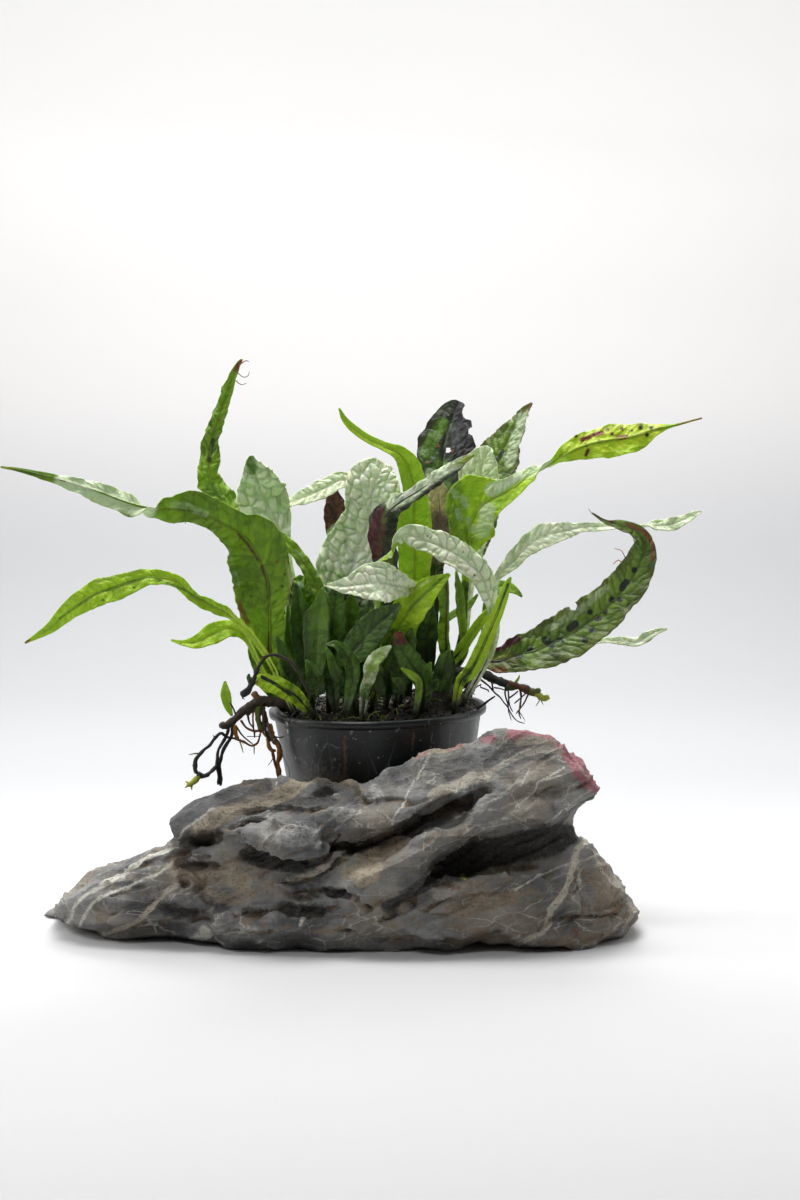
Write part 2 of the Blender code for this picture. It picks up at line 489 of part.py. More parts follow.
def build_stone(collection, cutters):
    bm = bmesh.new()
    for back, outline in STONE_BLOCKS.values():
        stone_block(bm, outline, back)
    bmesh.ops.triangulate(bm, faces=bm.faces[:])
    bmesh.ops.recalc_face_normals(bm, faces=bm.faces[:])
    rough = add_object("stone_rough", mesh_from(bm, "stone_rough"), collection)
    remesh = rough.modifiers.new("one_body", "REMESH")
    remesh.mode = "VOXEL"
    remesh.voxel_size = STONE_VOXEL
    soften = rough.modifiers.new("soften", "SMOOTH")
    soften.factor = 0.6
    soften.iterations = 2
    mesh = evaluated_mesh(rough)
    bpy.data.objects.remove(rough, do_unlink=True)

    bm = bmesh.new()
    bm.from_mesh(mesh)
    bm.normal_update()
    points = np.array([vertex.co for vertex in bm.verts])
    normals = np.array([vertex.normal for vertex in bm.verts])
    relief = drawn_relief(points, normals) - STONE_DRAWN_IN
    shifts = [vertex.normal * (stone_relief(vertex.co) + out) for vertex, out in zip(bm.verts, relief)]
    for vertex, shift in zip(bm.verts, shifts):
        vertex.co += shift
        vertex.co.y = rounded_back(vertex.co)
    stone = add_object("stone", mesh_from(bm, "stone"), collection, "stone")

    thin = stone.modifiers.new("fewer_faces", "DECIMATE")
    faces = sum(len(face.vertices) - 2 for face in stone.data.polygons)
    thin.ratio = STONE_TRIANGLES / faces
    thin.use_collapse_triangulate = True
    stone.data = evaluated_mesh(stone)
    stone.modifiers.clear()

    bm = bmesh.new()
    bm.from_mesh(stone.data)
    everything = bm.verts[:] + bm.edges[:] + bm.faces[:]
    cut = bmesh.ops.bisect_plane(
        bm, geom=everything, plane_co=(0, 0, 0), plane_no=(0, 0, -1), clear_outer=True, dist=1e-6)
    rim = [piece for piece in cut["geom_cut"] if isinstance(piece, bmesh.types.BMEdge)]
    bmesh.ops.holes_fill(bm, edges=rim, sides=0)
    bmesh.ops.triangulate(bm, faces=bm.faces[:])
    bm.to_mesh(stone.data)
    bm.free()

    seat = turned("pot_seat_cutter", [
        (0.0, -GAP), (pot_radius(0.0) + 0.0016, -GAP), (pot_radius(POT_HEIGHT) + 0.0030, POT_HEIGHT),
        (0.0, POT_HEIGHT)][::-1], 32, cutters)
    seat.matrix_world = pot_matrix()
    seat.hide_render = True
    seat.display_type = "WIRE"
    cut_seat = stone.modifiers.new("pot_seat", "BOOLEAN")
    cut_seat.operation = "DIFFERENCE"
    cut_seat.object = seat
    stone.data = evaluated_mesh(stone)
    stone.modifiers.clear()

    bm = bmesh.new()
    bm.from_mesh(stone.data)
    bmesh.ops.triangulate(bm, faces=bm.faces[:])
    keep_largest_body(bm)
    bm.to_mesh(stone.data)
    bm.free()
    paint(stone, "stone_surface", "stone")
    return stone


# A turned body: its profile as (radius, height), from the top of the outer side to the bottom
def turned(name, profile, sides, collection, colour=None):
    bm = bmesh.new()
    corners = [bm.verts.new((radius, 0.0, height)) for radius, height in profile]
    for start, end in zip(corners, corners[1:]):
        bm.edges.new((start, end))
    item = add_object(name, mesh_from(bm, name), collection, colour)
    screw = item.modifiers.new("turn", "SCREW")
    screw.steps = sides
    screw.render_steps = sides
    screw.use_merge_vertices = True
    screw.merge_threshold = 0.00005
    screw.use_smooth_shade = True
    return item


# Outer radius of the pot's wall at a height above its foot
def pot_radius(height):
    return RIM_DIAMETER / 2 - LIP_OVERHANG - (POT_HEIGHT - height) * math.tan(POT_TAPER)


def build_pot(collection):
    lip_foot = POT_HEIGHT - LIP_HEIGHT
    lip_radius = RIM_DIAMETER / 2
    inner_top = pot_radius(POT_HEIGHT) - POT_WALL
    inner_foot = pot_radius(POT_FLOOR) - POT_WALL
    profile = [
        (inner_top + 0.0003, POT_HEIGHT - 0.0007), (inner_top + 0.0009, POT_HEIGHT),
        (lip_radius - 0.0006, POT_HEIGHT), (lip_radius, POT_HEIGHT - 0.0007),
        (lip_radius - 0.0003, lip_foot + 0.0004), (lip_radius - 0.0009, lip_foot),
        (pot_radius(lip_foot), lip_foot - 0.0003), (pot_radius(0.0012), 0.0012),
        (pot_radius(0.0) - 0.0008, 0.0), (0.0, 0.0)]
    inside = [(0.0, POT_FLOOR), (inner_foot, POT_FLOOR)]
    bm = bmesh.new()
    corners = [bm.verts.new((radius, 0.0, height)) for radius, height in inside + profile]
    links = list(zip(corners[1:], corners[2:])) + [(corners[0], corners[1])]
    for start, end in links:
        bm.edges.new((start, end))
    pot = add_object("pot", mesh_from(bm, "pot"), collection, "pot")
    screw = pot.modifiers.new("turn", "SCREW")
    screw.steps = POT_SIDES
    screw.render_steps = POT_SIDES
    screw.use_merge_vertices = True
    screw.merge_threshold = 0.00005
    screw.use_smooth_shade = True
    pot.matrix_world = pot_matrix()
    return pot


def build_medium(collection):
    foot = POT_FLOOR + GAP
    top = POT_HEIGHT - MEDIUM_BELOW_RIM
    side_gap = POT_WALL + 0.0004
    foot_radius = pot_radius(foot) - side_gap
    top_radius = pot_radius(top) - side_gap
    rings = [0.0, 0.2, 0.4, 0.6, 0.8, 1.0]
    profile = [(top_radius * share, top) for share in rings] + [(foot_radius, foot), (0.0, foot)]
    medium = turned("growing_medium", profile, 24, collection, "medium")
    medium.data = evaluated_mesh(medium)
    medium.modifiers.clear()
    for vertex in medium.data.vertices:
        reach = math.hypot(vertex.co.x, vertex.co.y)
        if vertex.co.z > top - 1e-5 and reach < top_radius - 1e-4:
            vertex.co.z = medium_height(vertex.co.x, vertex.co.y) + GAP
            vertex.co.z += 0.0008 * noise.noise(vertex.co / 0.006) - 0.0008
    medium.matrix_world = pot_matrix()
    paint(medium, "growing_medium", "medium")
    return medium


# A blade: a grid laid along its route, folded at the midrib, and given its thickness
def build_blade(name, rows, route, fold, collection, colour):
    stations = smooth_rows(route, rows + 1)
    centres = [Vector(row[:3]) for row in stations]
    bm = bmesh.new()
    bmesh.ops.create_grid(bm, x_segments=rows, y_segments=2, size=1.0)
    for vertex in bm.verts:
        index = round((vertex.co.x + 1) / 2 * rows)
        across = vertex.co.y
        before = centres[max(index - 1, 0)]
        after = centres[min(index + 1, rows)]
        tangent = (after - before).normalized()
        to_view = (VIEW_POINT - centres[index]).normalized()
        side = tangent.cross(to_view).normalized()
        facing = side.cross(tangent).normalized()
        lean = crown_roll(centres[index], tangent)
        roll = math.radians(stations[index][4] + lean)
        width_way = side * math.cos(roll) + facing * math.sin(roll)
        normal = width_way.cross(tangent)
        half = max(stations[index][3], 0.0003) / math.cos(math.radians(lean))
        vertex.co = centres[index] + width_way * half * across - normal * fold * half * abs(across)
    bmesh.ops.recalc_face_normals(bm, faces=bm.faces[:])
    blade = add_object(name, mesh_from(bm, name), collection, colour)
    shell = blade.modifiers.new("thickness", "SOLIDIFY")
    shell.thickness = BLADE_THICKNESS
    shell.offset = 0.0
    return blade


# A route's points: the depth grows with the height over the rim, so that the crown fans out
def blade_route(stations):
    rim = SHELF_HEIGHT + POT_HEIGHT
    route = []
    for px, py, depth, half, roll in stations:
        height = max(from_photo(px, py, POT_Y).z - rim, 0.0)
        point = from_photo(px, py, POT_Y + depth * MM * (1.0 + CROWN_SPREAD * height))
        route.append((*point, half * PIXEL_SIZE, roll))
    return route


# How far a blade turns out of the picture's plane, in degrees
def crown_roll(point, tangent):
    sideways = max(-1.2, min(1.2, (point.x - POT_X) / CROWN_RADIUS))
    depth = max(-1.2, min(1.2, (point.y - POT_Y) / CROWN_RADIUS))
    return CROWN_WRAP * sideways * depth * abs(tangent.z) + LIE_OVER * tangent.x


def build_fronds(collection):
    for name, (colour, rows, place, fold, stations) in FRONDS.items():
        x, y = place[0] * MM, place[1] * MM
        route = blade_route(stations)
        root = pot_matrix() @ Vector((x, y, medium_height(x, y)))
        heading = (Vector(route[0][:3]) - root).normalized()
        root.z += 0.0009 + PETIOLE_HALF_WIDTH * math.hypot(heading.x, heading.y)
        route.insert(0, (*root, PETIOLE_HALF_WIDTH, stations[0][4]))
        build_blade(name, rows, route, fold, collection, colour)
    colour, rows, stations = SPROUT
    build_blade("sprout_left", rows, blade_route(stations), 0.1, collection, colour)


# One stem or root as a tapered tube, made a mesh with its caps welded
def tube_mesh(start_radius, end_radius, route, sides_level):
    points = [from_photo(px, py, POT_Y + depth * MM) for px, py, depth in route]
    rows = smooth_rows([tuple(point) for point in points], 2 * len(points) - 1)
    curve = bpy.data.curves.new("tube", "CURVE")
    curve.dimensions = "3D"
    curve.bevel_depth = 1.0
    curve.bevel_resolution = sides_level
    curve.use_fill_caps = True
    spline = curve.splines.new("POLY")
    spline.points.add(len(rows) - 1)
    for index, row in enumerate(rows):
        share = index / (len(rows) - 1)
        spline.points[index].co = (*row, 1.0)
        spline.points[index].radius = (start_radius + (end_radius - start_radius) * share) * MM
    item = bpy.data.objects.new("tube", curve)
    bpy.context.scene.collection.objects.link(item)
    mesh = evaluated_mesh(item)
    bpy.data.objects.remove(item, do_unlink=True)
    bm = bmesh.new()
    bm.from_mesh(mesh)
    bmesh.ops.remove_doubles(bm, verts=bm.verts[:], dist=1e-6)
    bmesh.ops.recalc_face_normals(bm, faces=bm.faces[:])
    bm.to_mesh(mesh)
    bm.free()
    return mesh


def build_branched(name, tubes, collection, cutters, colour):
    stem = add_object(name, tube_mesh(*tubes[0], 1), collection, colour)
    for number, tube in enumerate(tubes[1:], 1):
        root = add_object(f"{name}_root_{number}", tube_mesh(*tube, 0), cutters)
        root.hide_render = True
        root.display_type = "WIRE"
        join = stem.modifiers.new(f"root_{number}", "BOOLEAN")
        join.operation = "UNION"
        join.object = root
    return stem


def main():
    clear_scene()
    parts = new_collection("java_fern_on_stone")
    cutters = new_collection("cutters")
    build_stone(parts, cutters)
    build_pot(parts)
    build_medium(parts)
    build_branched("rhizome_left", LEFT_STEM, parts, cutters, "root")
    build_branched("rhizome_right", RIGHT_STEM, parts, cutters, "root")
    build_branched("dead_stalk", DEAD_STALK, parts, cutters, "charcoal")
    build_fronds(parts)


main()
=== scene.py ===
import math

import bpy
import numpy as np
from mathutils import Matrix, Vector, noise


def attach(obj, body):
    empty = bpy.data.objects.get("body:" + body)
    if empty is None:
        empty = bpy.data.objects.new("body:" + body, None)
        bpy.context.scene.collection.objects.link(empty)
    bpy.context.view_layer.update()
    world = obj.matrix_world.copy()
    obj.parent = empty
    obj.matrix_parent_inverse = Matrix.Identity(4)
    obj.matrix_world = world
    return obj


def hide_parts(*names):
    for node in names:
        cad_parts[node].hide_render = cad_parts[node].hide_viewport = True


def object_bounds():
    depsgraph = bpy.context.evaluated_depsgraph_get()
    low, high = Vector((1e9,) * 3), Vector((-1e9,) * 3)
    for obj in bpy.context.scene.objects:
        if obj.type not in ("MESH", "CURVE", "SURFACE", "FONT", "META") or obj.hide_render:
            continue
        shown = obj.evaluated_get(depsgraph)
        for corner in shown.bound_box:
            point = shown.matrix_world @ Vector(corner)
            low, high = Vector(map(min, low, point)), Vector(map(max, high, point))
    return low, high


# Java fern in a small dark pot, standing on a layered grey stone
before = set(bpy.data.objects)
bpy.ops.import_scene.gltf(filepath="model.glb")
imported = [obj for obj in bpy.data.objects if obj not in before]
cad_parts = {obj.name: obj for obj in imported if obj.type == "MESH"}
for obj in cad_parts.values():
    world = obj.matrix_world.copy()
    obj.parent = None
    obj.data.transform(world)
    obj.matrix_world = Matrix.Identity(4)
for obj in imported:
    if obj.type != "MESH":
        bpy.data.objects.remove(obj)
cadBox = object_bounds()

# The photograph's frame is 800 x 1200 pixels, and the pot's rim sets the scale
photo = {
    "centre": (400.0, 600.0),
    "pixelSize": 0.090 / 219.0,
    "distance": 1.100,
    "elevation": math.radians(6.0),
}
mm = 0.001
focalPixels = photo["distance"] / photo["pixelSize"]
potPlace = {"x": 0.0155, "y": 0.025, "z": 0.017, "height": 0.068, "lean": math.radians(-1.5)}
viewPoint = Vector((
    potPlace["x"] + (photo["centre"][0] - 381.75) * photo["pixelSize"],
    potPlace["y"] - photo["distance"] * math.cos(photo["elevation"]),
    0.2437,
))
viewForward = Vector((0.0, math.cos(photo["elevation"]), -math.sin(photo["elevation"])))
viewUp = Vector((0.0, math.sin(photo["elevation"]), math.cos(photo["elevation"])))
potMatrix = (Matrix.Translation((potPlace["x"], potPlace["y"], potPlace["z"]))
             @ Matrix.Rotation(potPlace["lean"], 4, "Y"))


def fromPhoto(px, py, depth):
    # the point at a depth (world Y) that shows at a pixel
    ray = viewForward * focalPixels - viewUp * (py - photo["centre"][1])
    ray.x = px - photo["centre"][0]
    return viewPoint + ray * ((depth - viewPoint.y) / ray.y)


def toPhoto(points):
    # the pixels that a row of points shows at
    away = points - np.array(viewPoint)
    ahead = away @ np.array(viewForward)
    px = photo["centre"][0] + focalPixels * away[:, 0] / ahead
    py = photo["centre"][1] - focalPixels * (away @ np.array(viewUp)) / ahead
    return np.column_stack([px, py])


def smoothStep(low, high, value):
    share = np.clip((value - low) / (high - low), 0.0, 1.0)
    return share * share * (3.0 - 2.0 * share)


def noiseAt(points, size, seed=0.0):
    shift = Vector((seed * 7.3, seed * 3.1, seed * 5.7))
    return np.array([noise.noise(Vector(point) / size + shift) for point in points])


# Selecting and applying, as by hand
def pickNothing():
    if bpy.context.object and bpy.context.object.mode != "OBJECT":
        bpy.ops.object.mode_set(mode="OBJECT")
    bpy.ops.object.select_all(action="DESELECT")


def pickOnly(*items):
    pickNothing()
    for item in items:
        item.select_set(True)
    bpy.context.view_layer.objects.active = items[0]


def applyModifier(item, kind, **values):
    pickOnly(item)
    modifier = item.modifiers.new(kind.lower(), kind)
    for key, value in values.items():
        setattr(modifier, key, value)
    bpy.ops.object.modifier_apply(modifier=modifier.name)


def applyPlace(item):
    pickOnly(item)
    bpy.ops.object.transform_apply(location=True, rotation=True, scale=True)


def readPoints(item):
    flat = np.empty(len(item.data.vertices) * 3)
    item.data.vertices.foreach_get("co", flat)
    return flat.reshape(-1, 3)


def writePoints(item, points):
    item.data.vertices.foreach_set("co", points.ravel())
    item.data.update()


def writeMask(item, name, rows):
    # a colour attribute of four masks, or of a colour and its cover
    layer = item.data.color_attributes.new(name, "FLOAT_COLOR", "POINT")
    layer.data.foreach_set("color", np.clip(rows, 0.0, 1.0).astype(np.float32).ravel())


def keepPiece(item, name, nodes=(), smooth=True):
    item.name = name
    item.data.name = name
    pickOnly(item)
    if smooth:
        bpy.ops.object.shade_smooth()
    print(name, len(item.data.polygons), "faces")
    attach(item, "root")
    if nodes:
        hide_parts(*nodes)
    return item


# Colours are written as the photograph shows them, and turned into Blender's linear ones
def linear(code):
    channels = [int(code[place:place + 2], 16) / 255.0 for place in (0, 2, 4)]
    return [c / 12.92 if c <= 0.04045 else ((c + 0.055) / 1.055) ** 2.4 for c in channels]


def asColour(code):
    return (*linear(code), 1.0)


# Short hands for the shader nodes
class Finish:
    def __init__(self, name):
        self.material = bpy.data.materials.new(name)
        self.material.use_nodes = True
        self.nodes = self.material.node_tree.nodes
        self.links = self.material.node_tree.links
        self.shader = self.nodes["Principled BSDF"]

    def feed(self, socket, value):
        if isinstance(value, bpy.types.NodeSocket):
            self.links.new(value, socket)
        else:
            socket.default_value = value

    def place(self, scale=(1, 1, 1), turn=(0, 0, 0), shift=(0, 0, 0)):
        spot = self.nodes.new("ShaderNodeTexCoord")
        mapping = self.nodes.new("ShaderNodeMapping")
        mapping.inputs["Scale"].default_value = scale
        mapping.inputs["Rotation"].default_value = turn
        mapping.inputs["Location"].default_value = shift
        self.links.new(spot.outputs["Object"], mapping.inputs["Vector"])
        return mapping.outputs["Vector"]

    def attribute(self, name):
        reader = self.nodes.new("ShaderNodeAttribute")
        reader.attribute_name = name
        parts = self.nodes.new("ShaderNodeSeparateColor")
        self.links.new(reader.outputs["Color"], parts.inputs["Color"])
        return reader.outputs["Color"], parts.outputs, reader.outputs["Alpha"]

    def noise(self, where, scale, detail=4.0, rough=0.55, warp=0.0):
        node = self.nodes.new("ShaderNodeTexNoise")
        node.inputs["Scale"].default_value = scale
        node.inputs["Detail"].default_value = detail
        node.inputs["Roughness"].default_value = rough
        node.inputs["Distortion"].default_value = warp
        self.links.new(where, node.inputs["Vector"])
        return node.outputs["Fac"]

    def cells(self, where, scale, feature="DISTANCE_TO_EDGE", jitter=1.0):
        node = self.nodes.new("ShaderNodeTexVoronoi")
        node.feature = feature
        node.inputs["Scale"].default_value = scale
        node.inputs["Randomness"].default_value = jitter
        self.links.new(where, node.inputs["Vector"])
        return node.outputs["Distance"]

    def bend(self, where, scale, amount):
        # pushes coordinates about with noise
        node = self.nodes.new("ShaderNodeTexNoise")
        node.inputs["Scale"].default_value = scale
        node.inputs["Detail"].default_value = 3.0
        self.links.new(where, node.inputs["Vector"])
        centred = self.nodes.new("ShaderNodeVectorMath")
        centred.operation = "SUBTRACT"
        centred.inputs[1].default_value = (0.5, 0.5, 0.5)
        self.links.new(node.outputs["Color"], centred.inputs[0])
        pushed = self.nodes.new("ShaderNodeVectorMath")
        pushed.operation = "MULTIPLY_ADD"
        pushed.inputs[1].default_value = (amount, amount, amount)
        self.links.new(centred.outputs["Vector"], pushed.inputs[0])
        self.links.new(where, pushed.inputs[2])
        return pushed.outputs["Vector"]

    def math(self, operation, first, second=0.0):
        node = self.nodes.new("ShaderNodeMath")
        node.operation = operation
        self.feed(node.inputs[0], first)
        self.feed(node.inputs[1], second)
        return node.outputs["Value"]

    def step(self, value, low, high):
        # 0 under the low value and 1 over the high one, or the other way round
        node = self.nodes.new("ShaderNodeMapRange")
        node.interpolation_type = "SMOOTHSTEP"
        flipped = low > high
        node.inputs["From Min"].default_value = min(low, high)
        node.inputs["From Max"].default_value = max(low, high)
        node.inputs["To Min"].default_value = 1.0 if flipped else 0.0
        node.inputs["To Max"].default_value = 0.0 if flipped else 1.0
        self.links.new(value, node.inputs["Value"])
        return node.outputs["Result"]

    def mix(self, share, first, second, mode="MIX"):
        node = self.nodes.new("ShaderNodeMix")
        node.data_type = "RGBA"
        node.blend_type = mode
        self.feed(node.inputs["Factor"], share)
        self.feed(node.inputs[6], first)
        self.feed(node.inputs[7], second)
        return node.outputs[2]

    def span(self, value, low, high):
        # 0..1 stretched to low..high
        node = self.nodes.new("ShaderNodeMapRange")
        node.inputs["To Min"].default_value = low
        node.inputs["To Max"].default_value = high
        self.links.new(value, node.inputs["Value"])
        return node.outputs["Result"]

    def bump(self, height, distance, below=None):
        node = self.nodes.new("ShaderNodeBump")
        node.inputs["Distance"].default_value = distance
        node.inputs["Strength"].default_value = 1.0
        self.links.new(height, node.inputs["Height"])
        if below is not None:
            self.links.new(below, node.inputs["Normal"])
        return node.outputs["Normal"]

    def close(self, colour, roughness, normal=None):
        self.feed(self.shader.inputs["Base Color"], colour)
        self.feed(self.shader.inputs["Roughness"], roughness)
        if normal is not None:
            self.links.new(normal, self.shader.inputs["Normal"])
        return self.material


# Camera at the photograph's place, soft studio light, pale sweep
def makeCamera():
    data = bpy.data.cameras.new("photoCamera")
    data.sensor_width = 36.0
    data.lens = focalPixels / 1200.0 * data.sensor_width
    data.clip_start = 0.05
    data.clip_end = 20.0
    camera = bpy.data.objects.new("photoCamera", data)
    bpy.context.scene.collection.objects.link(camera)
    camera.location = viewPoint
    camera.rotation_euler = (math.pi / 2 - photo["elevation"], 0.0, 0.0)
    bpy.context.scene.camera = camera


studio = {
    "skyColour": "ececec",
    "skyStrength": 0.08,
    "boxes": [
        # name, place, aimed at, width, depth, watts, colour
        ("topBox", (-0.05, 0.18, 0.95), (0.0, 0.02, 0.10), 0.50, 0.30, 6.0, "ffffff"),
        ("leftBox", (-0.80, 0.05, 0.45), (0.0, 0.0, 0.08), 0.30, 0.70, 3.1, "fffefb"),
        ("rightBox", (0.80, 0.10, 0.50), (0.0, 0.0, 0.08), 0.30, 0.70, 1.8, "fffefb"),
        ("backBox", (0.05, 0.66, 0.78), (0.0, 0.0, 0.05), 0.50, 0.30, 5.4, "ffffff"),
        ("frontBox", (-0.45, -0.75, 1.15), (0.0, 0.0, 0.08), 0.40, 0.30, 5.2, "ffffff"),
        ("wallBox", (0.0, 0.20, 1.70), (0.0, 1.40, 0.40), 2.60, 0.40, 19.0, "ffffff"),
    ],
}


def makeStudio():
    world = bpy.data.worlds.new("softRoom")
    world.use_nodes = True
    sky = world.node_tree.nodes["Background"]
    sky.inputs["Color"].default_value = asColour(studio["skyColour"])
    sky.inputs["Strength"].default_value = studio["skyStrength"]
    bpy.context.scene.world = world
    for name, place, target, width, depth, watts, colour in studio["boxes"]:
        data = bpy.data.lights.new(name, "AREA")
        data.shape = "RECTANGLE"
        data.size = width
        data.size_y = depth
        data.energy = watts
        data.color = linear(colour)
        lamp = bpy.data.objects.new(name, data)
        bpy.context.scene.collection.objects.link(lamp)
        lamp.location = place
        lamp.rotation_euler = (Vector(target) - Vector(place)).to_track_quat("-Z", "Y").to_euler()
    bpy.context.scene.view_settings.view_transform = "Standard"
    print("studio: camera and lights")


sweep = {"halfWidth": 3.0, "front": -2.0, "back": 1.1, "rise": 2.6, "bend": 0.5}


def makeSweep():
    pickNothing()
    bpy.ops.mesh.primitive_plane_add(size=2.0, location=(0.0, 0.0, 0.0))
    floor = bpy.context.object
    points = readPoints(floor)
    points[:, 0] *= sweep["halfWidth"]
    points[:, 1] = np.where(points[:, 1] < 0, sweep["front"], sweep["back"])
    writePoints(floor, points)
    bpy.ops.object.mode_set(mode="EDIT")
    bpy.ops.mesh.select_mode(type="EDGE")
    bpy.ops.mesh.select_all(action="DESELECT")
    bpy.ops.object.mode_set(mode="OBJECT")
    for edge in floor.data.edges:
        ends = [floor.data.vertices[index].co.y for index in edge.vertices]
        edge.select = min(ends) > sweep["back"] - 0.01
    bpy.ops.object.mode_set(mode="EDIT")
    bpy.ops.mesh.extrude_region_move(TRANSFORM_OT_translate={"value": (0.0, 0.0, sweep["rise"])})
    bpy.ops.mesh.select_all(action="DESELECT")
    bpy.ops.object.mode_set(mode="OBJECT")
    for edge in floor.data.edges:
        ends = [floor.data.vertices[index].co for index in edge.vertices]
        edge.select = all(end.y > sweep["back"] - 0.01 and end.z < 0.01 for end in ends)
    bpy.ops.object.mode_set(mode="EDIT")
    bpy.ops.mesh.bevel(offset=sweep["bend"], segments=16, affect="EDGES")
    bpy.ops.object.mode_set(mode="OBJECT")
    bpy.ops.object.shade_smooth()
    floor.name = "paleSweep"
    look = Finish("sweepPaper")
    where = look.place()
    grain = look.noise(where, 3.0, 2.0)
    spot = look.nodes.new("ShaderNodeSeparateXYZ")
    look.links.new(where, spot.inputs["Vector"])
    # the floor darker towards the front and behind the stone, and the wall lighter towards the top, are painted light
    # and shade of the lamps
    tone = look.mix(look.step(spot.outputs["Y"], -0.02, -0.45), asColour("c6c6c7"), asColour("c2c2c3"))
    tone = look.mix(look.step(spot.outputs["Y"], 0.04, 0.38), tone, asColour("adaeb0"))
    tone = look.mix(look.step(spot.outputs["Z"], 0.06, 0.24), tone, asColour("d9d7d6"))
    tone = look.mix(look.step(spot.outputs["Z"], 0.20, 0.42), tone, asColour("fbfaf9"))
    tone = look.mix(look.span(grain, 0.0, 0.06), tone, asColour("9fa3a8"))
    look.close(tone, 0.9)
    floor.data.materials.clear()
    floor.data.materials.append(look.material)


makeCamera()
makeStudio()
makeSweep()


# Lines drawn over the photograph: how far each pixel is from one, and on which side
def fromLine(pixels, line):
    best = np.full(len(pixels), 1e9)
    side = np.zeros(len(pixels))
    for start, end in zip(line, line[1:]):
        a = np.array(start[:2], float)
        b = np.array(end[:2], float)
        run = b - a
        along = np.clip(((pixels - a) @ run) / (run @ run), 0.0, 1.0)
        gap = pixels - a - along[:, None] * run
        far = np.hypot(gap[:, 0], gap[:, 1])
        near = far < best
        best[near] = far[near]
        turned = run[0] * gap[:, 1] - run[1] * gap[:, 0]
        side[near] = np.sign(turned[near])
    return best, side


def paintStrokes(pixels, strokes):
    # listed dabs and lines: (tint, width in pixels, strength, points)
    colour = np.full((len(pixels), 3), 0.2)
    cover = np.zeros(len(pixels))
    for tint, width, strength, line in strokes:
        if len(line) == 1:
            far = np.hypot(*(pixels - np.array(line[0], float)).T)
        else:
            far = fromLine(pixels, line)[0]
        share = strength * (1.0 - smoothStep(0.5 * width, 1.2 * width, far))
        near = np.where(cover < 0.05, 1.0 - smoothStep(1.2 * width, 3.0 * width, far), share)
        near = np.maximum(near, share)[:, None]
        colour = colour * (1.0 - near) + np.array(linear(tints[tint])) * near
        cover = cover + share * (1.0 - cover)
    return np.column_stack([colour, cover])


# Tints for the listed marks
tints = {
    "black": "17181a", "charcoal": "2c2c2c", "brown": "5a3520", "deadBrown": "5c3328", "rust": "7c3f22",
    "orange": "c5613a", "beige": "b9a98c", "purple": "6d5560", "yellow": "b7c046", "yellowGreen": "9cbf3c",
    "green": "567c16", "deepGreen": "304c0c", "darkGreen": "22380a", "paleGreen": "c0ceaa",
    "paintedSheen": "dde4d4", "grey": "8e948c", "olive": "5f6a2a", "smoke": "4b4f52",
    "cream": "bdb6a6", "white": "d2cfc4", "tan": "877660", "crust": "a99c86", "pink": "a66a72",
    "stalk": "272e10", "maroon": "54202a", "straw": "c6c391", "fresh": "8fae1e", "blackGreen": "1a2610",
    "lime": "bccb1c", "amber": "a8702c", "umber": "7a4a22", "dirtAndShade": "3a3126", "shade": "2a2926", "paleStone": "b3b3b1", "darkStone": "4c4d4f",
}


